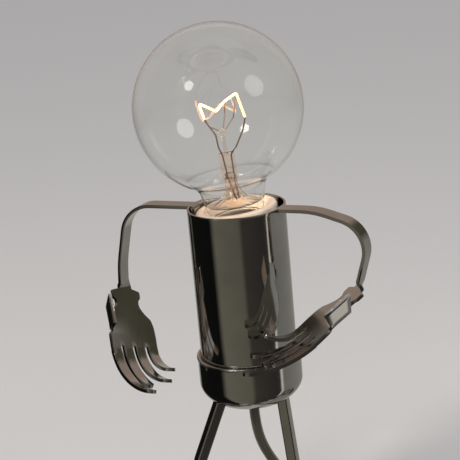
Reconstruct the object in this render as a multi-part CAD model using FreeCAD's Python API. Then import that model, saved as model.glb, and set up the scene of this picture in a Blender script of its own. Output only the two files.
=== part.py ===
import FreeCAD, Part
import math
import os

# Desk lamp in the form of a small walking figure: a polished tube for its body, a pressed cup
# below it, two arms with hands bent from sheet, two bar legs and a globe bulb for its head.
# Sizes are in millimetres. The floor is at zero height, the viewer stands on the -Y side,
# and "left" and "right" are as the viewer sees them.

# Where the upright body axis stands, so that the lamp without its cord is centred on the origin.
AXIS_X = 5.0
AXIS_Y = 11.33

# Heights of the standing lamp.
CUP_BOTTOM_HEIGHT = 112.0
BODY_HEIGHT = 118.3
RIM = CUP_BOTTOM_HEIGHT + BODY_HEIGHT

# Body tube.
TUBE_RADIUS = 28.0
TUBE_WALL = 1.2

# Base cup: a deep-drawn pressing with an elliptical bottom corner and a small turned lip.
CUP_FIT = 0.3
CUP_WALL = 1.8
CUP_DEPTH = 29.9
CUP_CORNER_WIDTH = 22.1
CUP_CORNER_HEIGHT = 14.5
CUP_LIP_RADIUS = 1.0
TUBE_SEAT_DEPTH = 1.5

# Hollow threaded rod on the body axis, which carries the lampholder and lets the cord in.
ROD_RADIUS = 5.0
ROD_BORE_RADIUS = 3.8
ROD_TOP_DROP = 56.0
ROD_HOLE_CLEARANCE = 0.3
NUT_ACROSS_FLATS = 14.0
NUT_HEIGHT = 3.0
WASHER_RADIUS = 9.0
WASHER_THICKNESS = 1.0
SEAT_GAP = 0.05

# Plastic bush that closes the rod's lower end.
BUSH_RADIUS = 6.5
BUSH_FLANGE = 2.6
BUSH_NECK_RADIUS = 3.7
BUSH_NECK = 8.0
BUSH_BORE_RADIUS = 3.2

# Porcelain lampholder, which leans to the left in the tube's mouth.
HOLDER_LEAN = 5.0
HOLDER_SHIFT = -0.3
HOLDER_DROP = 0.3
HOLDER_RADIUS = 23.4
HOLDER_BASE_RADIUS = 19.5
HOLDER_HEIGHT = 50.0
HOLDER_RIM_ROUND = 2.2
HOLDER_COLLAR = 12.0
MOUTH_RADIUS = 18.3
MOUTH_DEPTH = 9.0
SHELL_BORE_RADIUS = 15.2
SHELL_BORE_DEPTH = 36.0
WIRE_HOLE_RADIUS = 5.6

# Brass screw shell and the leaf contact below it.
SHELL_RADIUS = 14.6
SHELL_WALL = 0.6
SHELL_THREAD_DEPTH = 0.45
SHELL_TOP_DEPTH = 11.0
SHELL_BOTTOM_DEPTH = 34.0
THREAD_PITCH = 3.63
CONTACT_WIDTH = 6.0
CONTACT_SEAT = 6.0
CONTACT_SLOPE = 3.0
CONTACT_REACH = 6.0
CONTACT_THICKNESS = 0.6
CONTACT_RISE = 2.2
CONTACT_BEND_RADIUS = 1.2

# Steel strap between the rod and the lampholder, with its two fixing screws.
STRAP_WIDTH = 16.0
STRAP_THICKNESS = 1.5
STRAP_HALF_LENGTH = 16.5
STRAP_FLAT = 9.5
STRAP_BEND_RADIUS = 3.0
FIXING_SPACING = 26.0
FIXING_RADIUS = 1.5
FIXING_LENGTH = 9.0
FIXING_HEAD_RADIUS = 2.8
FIXING_HEAD = 1.8
SLOT_WIDTH = 0.6
SPACER_RADIUS = 3.0
TERMINAL_SPACING = 24.0
TERMINAL_RADIUS = 1.75
TERMINAL_LENGTH = 4.0

# The two insulated cores from the cord to the terminals.
CORE_RADIUS = 1.2
CORE_SPACING = 2.7
CORE_TOP_CLEARANCE = 4.0

# Globe bulb. Its heights are along the lampholder's axis, from the lampholder's rim.
GLOBE_RADIUS = 47.4
GLOBE_CENTRE = 56.7
GLASS_WALL = 0.8
NECK_JOIN_HEIGHT = 17.0
NECK_WAIST_RADIUS = 18.6
NECK_WAIST_HEIGHT = 10.0
NECK_RADIUS = 16.6
NECK_HEIGHT = 1.0
NECK_ROUND_RADIUS = 13.6
NECK_ROUND_HEIGHT = -5.2
FLARE_MIDDLE = (0.34, 0.62)
NECK_ROUND_MIDDLE = (0.8, 0.5)
CAP_RADIUS = 13.2
CAP_WALL = 0.5
CAP_THREAD_DEPTH = 0.6
CAP_TOP = -5.6
CAP_LENGTH = 23.9
CAP_TAPER = 4.0
CAP_END_RADIUS = 8.0
CAP_CONTACT_RADIUS = 4.8
CAP_CONTACT_HEIGHT = 1.6
CAP_CONTACT_DOME = 1.1
INSULATOR_HEIGHT = 1.6

# Glass stem inside the bulb, its pinch, rod and button.
STEM_FLARE_CLEARANCE = 0.3
STEM_FLARE_HEIGHT = 2.5
STEM_TUBE_RADIUS = 3.4
STEM_PINCH_BOTTOM = 16.0
STEM_PINCH_TOP = 31.0
PINCH_HALF_WIDTH = 4.4
PINCH_THICKNESS = 2.6
PINCH_EDGE_ROUND = 1.0
STEM_FLARE_MIDDLE = 0.3
STEM_TAPER_RADIUS = 2.7
STEM_ROD_RADIUS = 1.1
BUTTON_HEIGHT = 43.0
BUTTON_RADIUS = 2.4

# Wires of the bulb: points are (sideways, depth, height) in the bulb's own frame.
LEAD_RADIUS = 0.45
SUPPORT_RADIUS = 0.3
FILAMENT_RADIUS = 0.55
WIRE_BEND_SHARE = 0.3
LEFT_LEAD = [(-2.2, 0.0, 30.0), (-3.6, 0.0, 34.5), (-3.9, -0.5, 42.0), (-8.5, -1.5, 51.5)]
RIGHT_LEAD = [(2.6, 0.0, 30.0), (6.2, 0.0, 33.6), (11.6, -0.5, 42.5), (13.8, -1.0, 49.0)]
LEFT_SUPPORT = [(-1.6, 0.0, 44.0), (-7.0, 1.5, 47.0), (-10.4, 2.0, 60.6)]
BACK_SUPPORT = [(1.0, 1.2, 45.0), (3.0, 6.0, 52.0), (4.2, 7.0, 58.4)]
RIGHT_SUPPORT = [(1.9, 0.0, 44.0), (7.5, 1.0, 50.0), (11.2, 1.5, 62.8)]
FILAMENT_PATH = [
    (-8.5, -1.5, 52.0),
    (-10.3, 2.0, 60.8),
    (-1.5, 3.0, 54.5),
    (4.2, 7.0, 58.6),
    (11.2, 1.5, 63.0),
    (13.8, -1.0, 49.4),
]

# Sheet that the arms and hands are cut from.
SHEET = 2.0
STRIP_WIDTH = 9.5
NOTCH_CLEARANCE = 0.2
TAB_LENGTH = 8.0
TAB_GAP = 0.1
ARM_START = 25.4

# Arm paths, as (distance out from the body axis, height above the tube's rim).
LEFT_ARM_TURN = 155.0
LEFT_ARM_SHOULDER = 69.0
LEFT_ARM_SHOULDER_BEND = 20.0
LEFT_ARM_ELBOW = (77.4, -37.0)
LEFT_ARM_ELBOW_BEND = 60.0
LEFT_ARM_END = (78.4, -48.4)
LEFT_WRIST = (78.4, -54.4)
RIGHT_ARM_TURN = -27.0
RIGHT_ARM_SLOPE = (48.3, -0.7)
RIGHT_ARM_SLOPE_BEND = 50.0
RIGHT_ARM_SHOULDER = (80.9, -10.1)
RIGHT_ARM_SHOULDER_BEND = 17.0
RIGHT_ARM_END = (72.1, -39.4)
RIGHT_WRIST = (70.3, -45.3)

# Which way each hand points and which way its palm faces.
LEFT_HAND_POINTS = (0.09, -0.56, -0.82)
LEFT_PALM_FACES = (0.74, -0.51, 0.43)
RIGHT_HAND_POINTS = (-0.778, -0.26, -0.572)
RIGHT_PALM_FACES = (-0.584, -0.038, 0.811)

# Flat pattern of a hand, from the wrist outwards.
CUFF_EAR_START = 1.5
CUFF_EAR_END = 5.5
CUFF_EAR_HALF = 10.7
CUFF_NECK_DISTANCE = 9.5
CUFF_NECK_HALF = 8.6
PALM_SIDE_DISTANCE = 24.0
PALM_HALF = 18.0
PALM_LENGTH = 36.0
PALM_BULGE = (5.0, 2.2)
PALM_SHOULDER = (5.0, 2.0)
PALM_SIDE_ROUND = (4.0, 0.5)
FINGER_WIDTH = 7.0
FINGER_TIP_ROUND = 3.2
FINGER_ROOT = 4.0
FINGER_LENGTHS = (25.0, 36.0, 33.0, 46.0)
LEFT_FINGER_CURLS = (80.0, 76.0, 54.0, 72.0)
RIGHT_FINGER_CURLS = (75.0, 48.0, 34.0, 42.0)
THUMB_ROOT_START = 14.0
THUMB_ROOT_END = 27.0
THUMB_LENGTH = 12.0
THUMB_EDGE_START = 8.0
THUMB_EDGE_END = 26.0
THUMB_FOLD = 62.0
THUMB_FOLD_INSET = 2.5
THUMB_HEEL = (3.0, 4.0)

# Legs of square bar, bent at the knee, as (distance out from the body axis, height above the floor).
BAR = 6.4
BAR_EDGE_ROUND = 1.3
LEG_SEAT_GAP = 0.1
LEFT_LEG_TURN = 200.0
LEFT_HIP = (18.4, 120.0)
LEFT_KNEE = (37.4, 79.0)
LEFT_KNEE_BEND = 14.0
LEFT_ANKLE = (27.0, 20.0)
RIGHT_LEG_TURN = -20.0
RIGHT_HIP = (17.8, 120.0)
RIGHT_KNEE = (21.8, 72.0)
RIGHT_KNEE_BEND = 60.0
RIGHT_ANKLE = (28.0, 20.0)
ANKLE_BEND = 12.0
LEG_SCREW_RADIUS = 1.6
LEG_SCREW_LENGTH = 9.0
LEG_SCREW_HEAD_RADIUS = 3.0
LEG_SCREW_HEAD = 2.2
LEG_WASHER_RADIUS = 4.0
LEG_WASHER_THICKNESS = 0.8
LEG_WASHER_LIFT = 3.0

# Flat soles cut from plate.
SOLE_THICKNESS = 3.0
SOLE_HEEL_RADIUS = 11.0
SOLE_TOE_RADIUS = 13.5
SOLE_HEEL_BACK = 16.0
SOLE_TOE_FRONT = 40.0
SOLE_TURN = 8.0
SOLE_SCREW_RADIUS = 1.6
SOLE_SCREW_HEAD_RADIUS = 3.2
SOLE_SCREW_LENGTH = 8.0
SOLE_SCREW_SINK = 0.3

# Flat twin cord, drawn as a round tube of its width.
CORD_WIDTH = 6.0
CORD_FLOOR = 3.2
CORD_BEND_SHARE = 0.45
CORD_DROP = [
    (0.0, 0.0, 94.4),
    (4.6, 1.5, 77.5),
    (14.5, 5.5, 59.5),
    (27.0, 12.5, 43.0),
    (40.5, 22.0, 28.5),
    (53.0, 33.0, 16.5),
    (66.0, 42.5, 7.5),
    (80.5, 50.0, CORD_FLOOR),
]
CORD_AFTER_SWITCH = [
    (174.0, 50.0, CORD_FLOOR),
    (188.0, 44.0, CORD_FLOOR),
    (197.0, 30.0, CORD_FLOOR),
    (199.5, 11.0, CORD_FLOOR),
    (196.6, -8.2, CORD_FLOOR),
]
CORD_TO_PLUG = [
    (154.0, -55.8, 9.5),
    (140.0, -55.8, 8.3),
]

# Inline switch, lying along X behind the right foot.
SWITCH_START = 96.0
SWITCH_LENGTH = 64.0
SWITCH_WIDTH = 26.0
SWITCH_HALF_HEIGHT = 8.0
SWITCH_END_WIDTH = 12.0
SWITCH_SHOULDER = 12.0
SWITCH_FLOOR_GAP = 0.2
SWITCH_EDGE_ROUND = 2.0
ROCKER_LENGTH = 18.0
ROCKER_WIDTH = 11.0
ROCKER_CLEARANCE = 0.7
ROCKER_FOOT_SHARE = 0.45
ROCKER_DIP_SHARE = 0.33
ROCKER_DEPTH = 6.0
ROCKER_PROUD = 2.4
ROCKER_ANGLE = 14.0
AXLE_RADIUS = 1.2
AXLE_LENGTH = 1.6
AXLE_CLEARANCE = 0.05
SWITCH_SCREW_RADIUS = 1.25
SWITCH_SCREW_HEAD_RADIUS = 2.2
SWITCH_SCREW_HEAD = 1.4
SWITCH_SCREW_LENGTH = 10.0
SWITCH_SCREW_INSET = 13.0

# Neat coil of the cord's spare length, lying on the floor beside the right foot.
COIL_CENTRE = (154.0, -13.0)
COIL_MIDDLE_RADIUS = 33.5
COIL_BUNDLE_WIDTH = 24.8
COIL_HEIGHT = 12.5
COIL_FLOOR_GAP = 0.2
COIL_ROUND = 3.0

# Flat two-pin plug, which lies on the floor in front of the coil and points to the left.
PLUG_FRONT = (68.0, -55.8)
PLUG_FLOOR_GAP = 0.2
PLUG_WIDTH = 35.0
PLUG_THICKNESS = 13.6
PLUG_LENGTH = 30.0
PLUG_TAIL_WIDTH = 13.0
PLUG_SHOULDER = 12.0
PLUG_ROUND = 2.5
PLUG_TURN = -90.0
RELIEF_LENGTH = 22.0
RELIEF_WIDE_RADIUS = 5.0
RELIEF_NARROW_RADIUS = 3.8
PIN_RADIUS = 2.0
PIN_LENGTH = 19.0
PIN_SPACING = 19.0
PIN_ROOT = 4.0
PIN_NECK_RADIUS = 1.5
PIN_NECK_LENGTH = 10.0

# A small length by which one solid runs into another before they are fused or cut.
OVERRUN = 1.0


def xz(x, z):
    return FreeCAD.Vector(x, 0.0, z)


def edge_chain(start, steps):
    """Edges from start through steps. A step is a point, or a pair (middle, end) for an arc."""
    edges = []
    here = xz(*start)
    for step in steps:
        if isinstance(step[0], tuple):
            middle, end = xz(*step[0]), xz(*step[1])
            edges.append(Part.Arc(here, middle, end).toShape())
        else:
            end = xz(*step)
            edges.append(Part.LineSegment(here, end).toShape())
        here = end
    return edges


def turned(start, steps):
    """Solid of revolution about Z from an outline that closes on its start."""
    edges = edge_chain(start, steps + [start])
    face = Part.Face(Part.Wire(edges))
    return face.revolve(FreeCAD.Vector(), FreeCAD.Vector(0, 0, 1), 360)


def cylinder(radius, height, base=(0.0, 0.0, 0.0), axis=(0.0, 0.0, 1.0)):
    return Part.makeCylinder(radius, height, FreeCAD.Vector(*base), FreeCAD.Vector(*axis))


def box(low, high):
    size = [high[i] - low[i] for i in range(3)]
    return Part.makeBox(size[0], size[1], size[2], FreeCAD.Vector(*low))


def hexagon(across_flats, height, base):
    corner = across_flats / math.sqrt(3)
    points = []
    for i in range(7):
        angle = math.radians(60 * i)
        points.append(FreeCAD.Vector(corner * math.cos(angle), corner * math.sin(angle), 0))
    prism = Part.Face(Part.makePolygon(points)).extrude(FreeCAD.Vector(0, 0, height))
    prism.translate(FreeCAD.Vector(*base))
    return prism


def rounded_path(points, radii):
    """Straight runs joined by tangent arcs, through points in any plane or in space."""
    corners = [FreeCAD.Vector(*p) for p in points]
    edges = []
    here = corners[0]
    for i in range(1, len(corners) - 1):
        back = (corners[i - 1] - corners[i]).normalize()
        ahead = (corners[i + 1] - corners[i]).normalize()
        half_turn = (math.pi - back.getAngle(ahead)) / 2
        reach = radii[i - 1] * math.tan(half_turn)
        first = corners[i] + back * reach
        last = corners[i] + ahead * reach
        to_centre = (back + ahead).normalize()
        centre_distance = radii[i - 1] / math.cos(half_turn)
        middle = corners[i] + to_centre * (centre_distance - radii[i - 1])
        edges.append(Part.LineSegment(here, first).toShape())
        edges.append(Part.Arc(first, middle, last).toShape())
        here = last
    edges.append(Part.LineSegment(here, corners[-1]).toShape())
    return edges


def offset_corners(points, distance):
    """The corners of a flat path in XZ, moved to its left by distance."""
    count = len(points)
    moved = []
    for i in range(count):
        before = points[max(i - 1, 0)]
        after = points[min(i + 1, count - 1)]
        here = points[i]
        normals = []
        for a, b in ((before, here), (here, after)):
            run = math.hypot(b[0] - a[0], b[1] - a[1])
            if run > 0:
                normals.append(((a[1] - b[1]) / run, (b[0] - a[0]) / run))
        nx = sum(n[0] for n in normals)
        nz = sum(n[1] for n in normals)
        length = math.hypot(nx, nz)
        share = distance / (length / len(normals)) / length
        moved.append((here[0] + nx * share, here[1] + nz * share))
    return moved


def turns_left(points, i):
    a, b, c = points[i - 1], points[i], points[i + 1]
    return (b[0] - a[0]) * (c[1] - b[1]) - (b[1] - a[1]) * (c[0] - b[0]) > 0


def ribbon(points, radii, thickness, width):
    """A bent strip: its middle line is the rounded path in XZ, and its width runs along Y."""
    sides = []
    for distance in (thickness / 2, -thickness / 2):
        corners = offset_corners(points, distance)
        bends = []
        for i, radius in enumerate(radii):
            inward = distance if turns_left(points, i + 1) else -distance
            bends.append(radius - inward)
        sides.append((corners, rounded_path([(x, 0, z) for x, z in corners], bends)))
    edges = sides[0][1] + sides[1][1]
    for end in (0, -1):
        edges.append(Part.LineSegment(xz(*sides[0][0][end]), xz(*sides[1][0][end])).toShape())
    face = Part.Face(Part.Wire(Part.__sortEdges__(edges)))
    solid = face.extrude(FreeCAD.Vector(0, width, 0))
    solid.translate(FreeCAD.Vector(0, -width / 2, 0))
    return solid


def swept(points, radii, radius):
    """A round wire or cord along a rounded path."""
    path = Part.Wire(rounded_path(points, radii))
    start = FreeCAD.Vector(*points[0])
    along = FreeCAD.Vector(*points[1]) - start
    section = Part.Wire(Part.Circle(start, along, radius).toShape())
    return path.makePipeShell([section], True, True)


def bend_radii(points, share):
    """For each corner the largest arc that the shorter of its two runs allows."""
    radii = []
    for i in range(1, len(points) - 1):
        here = FreeCAD.Vector(*points[i])
        back = FreeCAD.Vector(*points[i - 1]) - here
        ahead = FreeCAD.Vector(*points[i + 1]) - here
        half_turn = (math.pi - back.getAngle(ahead)) / 2
        radii.append(share * min(back.Length, ahead.Length) / math.tan(half_turn))
    return radii


def fused(first, others):
    whole = first
    for other in others:
        whole = whole.fuse(other)
    return whole.removeSplitter()


def export(name, shape):
    """Stand the piece at its place and write it."""
    piece = shape.copy()
    piece.translate(FreeCAD.Vector(AXIS_X, AXIS_Y, 0))
    piece.exportStep("parts/" + name + ".step")


def at_rim(shape):
    """Place a piece of the lampholder or bulb: its own Z is the holder's leaning axis."""
    spot = FreeCAD.Vector(HOLDER_SHIFT, 0, RIM - HOLDER_DROP)
    lean = FreeCAD.Rotation(FreeCAD.Vector(0, 1, 0), -HOLDER_LEAN)
    piece = shape.copy()
    piece.Placement = FreeCAD.Placement(spot, lean).multiply(piece.Placement)
    return piece


# Body tube, with a notch in its rim for each arm.
cup_corner_z = CUP_BOTTOM_HEIGHT + CUP_CORNER_HEIGHT
tube_bottom = cup_corner_z - TUBE_SEAT_DEPTH
tube_inner = TUBE_RADIUS - TUBE_WALL


def notch(turn):
    half = STRIP_WIDTH / 2 + NOTCH_CLEARANCE
    low = (tube_inner - OVERRUN, -half, RIM - SHEET - NOTCH_CLEARANCE)
    high = (TUBE_RADIUS + OVERRUN, half, RIM + OVERRUN)
    cut = box(low, high)
    cut.rotate(FreeCAD.Vector(), FreeCAD.Vector(0, 0, 1), turn)
    return cut


def make_body_tube():
    tube = cylinder(TUBE_RADIUS, RIM - tube_bottom, (0, 0, tube_bottom))
    bore = cylinder(tube_inner, RIM - tube_bottom + 2 * OVERRUN, (0, 0, tube_bottom - OVERRUN))
    return tube.cut(bore).cut(notch(LEFT_ARM_TURN)).cut(notch(RIGHT_ARM_TURN))


# Base cup.
cup_inner = TUBE_RADIUS + CUP_FIT
cup_outer = cup_inner + CUP_WALL
cup_top = CUP_BOTTOM_HEIGHT + CUP_DEPTH
cup_flat = cup_outer - CUP_CORNER_WIDTH


def corner_point(inset, share):
    """A point on the cup's elliptical corner, inset from the outside, share of a quarter turn."""
    angle = math.radians(90 * share)
    x = cup_flat + (CUP_CORNER_WIDTH - inset) * math.cos(angle)
    z = cup_corner_z - (CUP_CORNER_HEIGHT - inset) * math.sin(angle)
    return FreeCAD.Vector(x, 0, z)


def corner_edge(inset):
    """The quarter ellipse of the cup's corner, from its wall down to its flat bottom."""
    centre = xz(cup_flat, cup_corner_z)
    wide = corner_point(inset, 0)
    low = corner_point(inset, 1)
    ellipse = Part.Ellipse(wide, low, centre)
    arc = Part.Edge(ellipse, ellipse.parameter(wide), ellipse.parameter(low))
    if (arc.valueAt(arc.FirstParameter) - wide).Length > OVERRUN:
        arc = Part.Edge(ellipse, ellipse.parameter(low), ellipse.parameter(wide))
    middle = corner_point(inset, 0.5)
    if arc.distToShape(Part.Vertex(middle))[0] > OVERRUN:
        arc = Part.Edge(ellipse, ellipse.parameter(low), ellipse.parameter(wide) + 2 * math.pi)
    return arc


def cup_solid(inset, top):
    """The cup's full shape, drawn in by inset, up to top."""
    wall_x = cup_outer - inset
    floor_z = CUP_BOTTOM_HEIGHT + inset
    edges = [corner_edge(inset)]
    edges.append(Part.LineSegment(xz(wall_x, cup_corner_z), xz(wall_x, top)).toShape())
    edges.append(Part.LineSegment(xz(wall_x, top), xz(0, top)).toShape())
    edges.append(Part.LineSegment(xz(0, top), xz(0, floor_z)).toShape())
    edges.append(Part.LineSegment(xz(0, floor_z), xz(cup_flat, floor_z)).toShape())
    face = Part.Face(Part.Wire(Part.__sortEdges__(edges)))
    return face.revolve(FreeCAD.Vector(), FreeCAD.Vector(0, 0, 1), 360)


def leg_screw_axis(hip, knee):
    """Where a leg's screw stands: a point inside the cup on the leg's middle line, and its way down."""
    top = FreeCAD.Vector(hip[0], 0, hip[1])
    down = (FreeCAD.Vector(knee[0], 0, knee[1]) - top).normalize()
    return top, down


def leg_entry(hip, knee, inset):
    """The point where a leg's middle line crosses the cup's surface, drawn in by inset."""
    top, down = leg_screw_axis(hip, knee)
    start = top - down * CUP_CORNER_HEIGHT
    line = Part.LineSegment(start, top + down * CUP_CORNER_HEIGHT).toShape()
    shell = cup_solid(inset, cup_top).Shells[0]
    hits = line.section(shell).Vertexes
    lowest = min(hits, key=lambda vertex: vertex.Point.z)
    return lowest.Point


legs = {
    "left": (LEFT_HIP, LEFT_KNEE, LEFT_ANKLE, LEFT_KNEE_BEND, LEFT_LEG_TURN),
    "right": (RIGHT_HIP, RIGHT_KNEE, RIGHT_ANKLE, RIGHT_KNEE_BEND, RIGHT_LEG_TURN),
}


def about_axis(shape, turn):
    """Turn a piece that was drawn in the XZ plane about the body axis."""
    piece = shape.copy()
    piece.rotate(FreeCAD.Vector(), FreeCAD.Vector(0, 0, 1), turn)
    return piece


def make_base_cup():
    outer = cup_solid(0, cup_top)
    lip = Part.makeTorus(cup_outer - CUP_LIP_RADIUS / 2, CUP_LIP_RADIUS)
    lip.translate(FreeCAD.Vector(0, 0, cup_top))
    cup = outer.fuse(lip)
    cup = cup.cut(cup_solid(CUP_WALL, cup_top + 2 * CUP_LIP_RADIUS))
    hole = cylinder(ROD_RADIUS + ROD_HOLE_CLEARANCE, 3 * CUP_WALL, (0, 0, CUP_BOTTOM_HEIGHT - CUP_WALL))
    cup = cup.cut(hole)
    for hip, knee, ankle, bend, turn in legs.values():
        down = leg_screw_axis(hip, knee)[1]
        start = leg_entry(hip, knee, 0) - down * LEG_SCREW_LENGTH
        bore = cylinder(LEG_SCREW_RADIUS + SEAT_GAP, 2 * LEG_SCREW_LENGTH, start, down)
        cup = cup.cut(about_axis(bore, turn))
    return cup


# Legs, with their screws into the cup and into the soles.
sole_top = SOLE_THICKNESS


def make_leg(hip, knee, ankle, bend):
    bar = ribbon([hip, knee, ankle, (ankle[0], sole_top)], [bend, ANKLE_BEND], BAR, BAR)
    long_edges = []
    for edge in bar.Edges:
        ends = [vertex.Point for vertex in edge.Vertexes]
        at_side = all(abs(abs(p.y) - BAR / 2) < SEAT_GAP for p in ends)
        along = at_side and abs(ends[0].y - ends[-1].y) < SEAT_GAP
        across = (ends[0] - ends[-1]).Length <= BAR + SEAT_GAP and len(ends) == 2
        end_edge = across and edge.Curve.TypeId == "Part::GeomLine"
        if along and not end_edge:
            long_edges.append(edge)
    bar = bar.makeFillet(BAR_EDGE_ROUND, long_edges)
    bar = bar.cut(cup_solid(-LEG_SEAT_GAP, RIM))
    entry = leg_entry(hip, knee, 0)
    down = leg_screw_axis(hip, knee)[1]
    tapped = cylinder(LEG_SCREW_RADIUS + SEAT_GAP, LEG_SCREW_LENGTH, entry - down * OVERRUN, down)
    bar = bar.cut(tapped)
    heel_hole = cylinder(SOLE_SCREW_RADIUS + SEAT_GAP, SOLE_SCREW_LENGTH, (ankle[0], 0, sole_top - OVERRUN))
    return bar.cut(heel_hole)


def make_leg_screw(hip, knee):
    """Round-headed screw from inside the cup down into the leg, and the washer under its head."""
    down = leg_screw_axis(hip, knee)[1]
    inside = leg_entry(hip, knee, CUP_WALL)
    seat = inside - down * LEG_WASHER_LIFT
    head_seat = seat - down * (LEG_WASHER_THICKNESS + SEAT_GAP)
    outside = leg_entry(hip, knee, 0)
    shank_length = (outside - head_seat).Length + LEG_SCREW_LENGTH - 2 * OVERRUN
    shank = cylinder(LEG_SCREW_RADIUS, shank_length, head_seat, down)
    head = cylinder(LEG_SCREW_HEAD_RADIUS, LEG_SCREW_HEAD, head_seat - down * LEG_SCREW_HEAD, down)
    washer = cylinder(LEG_WASHER_RADIUS, LEG_WASHER_THICKNESS, seat - down * LEG_WASHER_THICKNESS, down)
    washer = washer.cut(cylinder(LEG_SCREW_RADIUS + SEAT_GAP, 4 * OVERRUN, seat - down * 2 * OVERRUN, down))
    return shank.fuse(head).removeSplitter(), washer


def heel_spot(ankle, turn):
    angle = math.radians(turn)
    return FreeCAD.Vector(ankle[0] * math.cos(angle), ankle[0] * math.sin(angle), 0)


def make_sole(spot, side):
    """A sole plate: two round ends joined by their common tangents, turned out a little."""
    back = cylinder(SOLE_HEEL_RADIUS, SOLE_THICKNESS, (0, SOLE_HEEL_BACK - SOLE_HEEL_RADIUS, 0))
    toe_y = SOLE_TOE_RADIUS - SOLE_TOE_FRONT
    toe = cylinder(SOLE_TOE_RADIUS, SOLE_THICKNESS, (0, toe_y, 0))
    heel_y = SOLE_HEEL_BACK - SOLE_HEEL_RADIUS
    distance = heel_y - toe_y
    slant = math.asin((SOLE_TOE_RADIUS - SOLE_HEEL_RADIUS) / distance)
    corners = []
    for radius, centre_y, sign in (
        (SOLE_HEEL_RADIUS, heel_y, 1),
        (SOLE_TOE_RADIUS, toe_y, 1),
        (SOLE_TOE_RADIUS, toe_y, -1),
        (SOLE_HEEL_RADIUS, heel_y, -1),
    ):
        x = sign * radius * math.cos(slant)
        y = centre_y + radius * math.sin(slant)
        corners.append(FreeCAD.Vector(x, y, 0))
    corners.append(corners[0])
    web = Part.Face(Part.makePolygon(corners)).extrude(FreeCAD.Vector(0, 0, SOLE_THICKNESS))
    plate = fused(back, [toe, web])
    sink = Part.makeCone(
        SOLE_SCREW_HEAD_RADIUS + SEAT_GAP,
        SOLE_SCREW_RADIUS + SEAT_GAP,
        SOLE_SCREW_HEAD_RADIUS - SOLE_SCREW_RADIUS,
        FreeCAD.Vector(0, 0, SOLE_SCREW_SINK),
    )
    mouth = cylinder(SOLE_SCREW_HEAD_RADIUS + SEAT_GAP, SOLE_SCREW_SINK)
    bore = cylinder(SOLE_SCREW_RADIUS + SEAT_GAP, SOLE_THICKNESS)
    plate = plate.cut(sink).cut(mouth).cut(bore)
    plate.rotate(FreeCAD.Vector(), FreeCAD.Vector(0, 0, 1), side * SOLE_TURN)
    plate.translate(spot)
    return plate


def make_sole_screw(spot):
    head = Part.makeCone(
        SOLE_SCREW_HEAD_RADIUS,
        SOLE_SCREW_RADIUS,
        SOLE_SCREW_HEAD_RADIUS - SOLE_SCREW_RADIUS,
        FreeCAD.Vector(0, 0, SOLE_SCREW_SINK),
    )
    shank = cylinder(SOLE_SCREW_RADIUS, SOLE_SCREW_LENGTH, (0, 0, SOLE_SCREW_SINK))
    screw = head.fuse(shank).removeSplitter()
    screw.translate(spot)
    return screw


# Threaded rod, its nuts and washers, and the cord bush.
cup_floor = CUP_BOTTOM_HEIGHT + CUP_WALL
rod_top = RIM - ROD_TOP_DROP
rod_bottom = CUP_BOTTOM_HEIGHT
strap_bottom = rod_top - NUT_HEIGHT - STRAP_THICKNESS - WASHER_THICKNESS - SEAT_GAP
strap_middle = strap_bottom + STRAP_THICKNESS / 2


def make_tie_rod():
    rod = cylinder(ROD_RADIUS, rod_top - rod_bottom, (0, 0, rod_bottom))
    return rod.cut(cylinder(ROD_BORE_RADIUS, rod_top - rod_bottom, (0, 0, rod_bottom)))


def nut_at(z):
    nut = hexagon(NUT_ACROSS_FLATS, NUT_HEIGHT, (0, 0, z))
    return nut.cut(cylinder(ROD_RADIUS + SEAT_GAP, NUT_HEIGHT, (0, 0, z)))


def washer_at(z):
    washer = cylinder(WASHER_RADIUS, WASHER_THICKNESS, (0, 0, z))
    return washer.cut(cylinder(ROD_RADIUS + SEAT_GAP, WASHER_THICKNESS, (0, 0, z)))


def make_cord_bush():
    flange = cylinder(BUSH_RADIUS, BUSH_FLANGE, (0, 0, CUP_BOTTOM_HEIGHT - BUSH_FLANGE))
    neck = cylinder(BUSH_NECK_RADIUS, BUSH_NECK, (0, 0, CUP_BOTTOM_HEIGHT))
    bush = flange.fuse(neck).removeSplitter()
    bush = bush.makeFillet(BUSH_FLANGE / 2, [e for e in bush.Edges if is_lower_rim(e)])
    span = BUSH_FLANGE + BUSH_NECK + 2 * OVERRUN
    start = (0, 0, CUP_BOTTOM_HEIGHT - BUSH_FLANGE - OVERRUN)
    return bush.cut(cylinder(BUSH_BORE_RADIUS, span, start))


def is_lower_rim(edge):
    """True for the round edge of the bush's flange at its lower end."""
    if edge.Curve.TypeId != "Part::GeomCircle":
        return False
    low = edge.Curve.Center.z < CUP_BOTTOM_HEIGHT - BUSH_FLANGE / 2
    return low and abs(edge.Curve.Radius - BUSH_RADIUS) < SEAT_GAP


# Holder strap: flat where the rod goes through, both ends bent to the holder's lean.
def bent_strap():
    rise = math.tan(math.radians(HOLDER_LEAN)) * (STRAP_HALF_LENGTH - STRAP_FLAT)
    points = [
        (-STRAP_HALF_LENGTH, strap_middle - rise),
        (-STRAP_FLAT, strap_middle),
        (STRAP_FLAT, strap_middle),
        (STRAP_HALF_LENGTH, strap_middle + rise),
    ]
    return ribbon(points, [STRAP_BEND_RADIUS, STRAP_BEND_RADIUS], STRAP_THICKNESS, STRAP_WIDTH)


def make_holder_bracket():
    strap = bent_strap()
    hole = cylinder(ROD_RADIUS + SEAT_GAP, 3 * STRAP_THICKNESS, (0, 0, strap_bottom - STRAP_THICKNESS))
    strap = strap.cut(hole)
    for side in (-1, 1):
        bore = cylinder(FIXING_RADIUS + SEAT_GAP, HOLDER_HEIGHT, fixing_spot(side, -2 * HOLDER_HEIGHT + OVERRUN))
        strap = strap.cut(at_rim(bore))
    return strap


# Points of the holder's own frame that sit over the strap's two bent ends.
holder_base_x = math.sin(math.radians(HOLDER_LEAN)) * HOLDER_HEIGHT - HOLDER_SHIFT


def fixing_spot(side, height):
    return (side * FIXING_SPACING / 2 - holder_base_x, 0.0, height)


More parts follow.
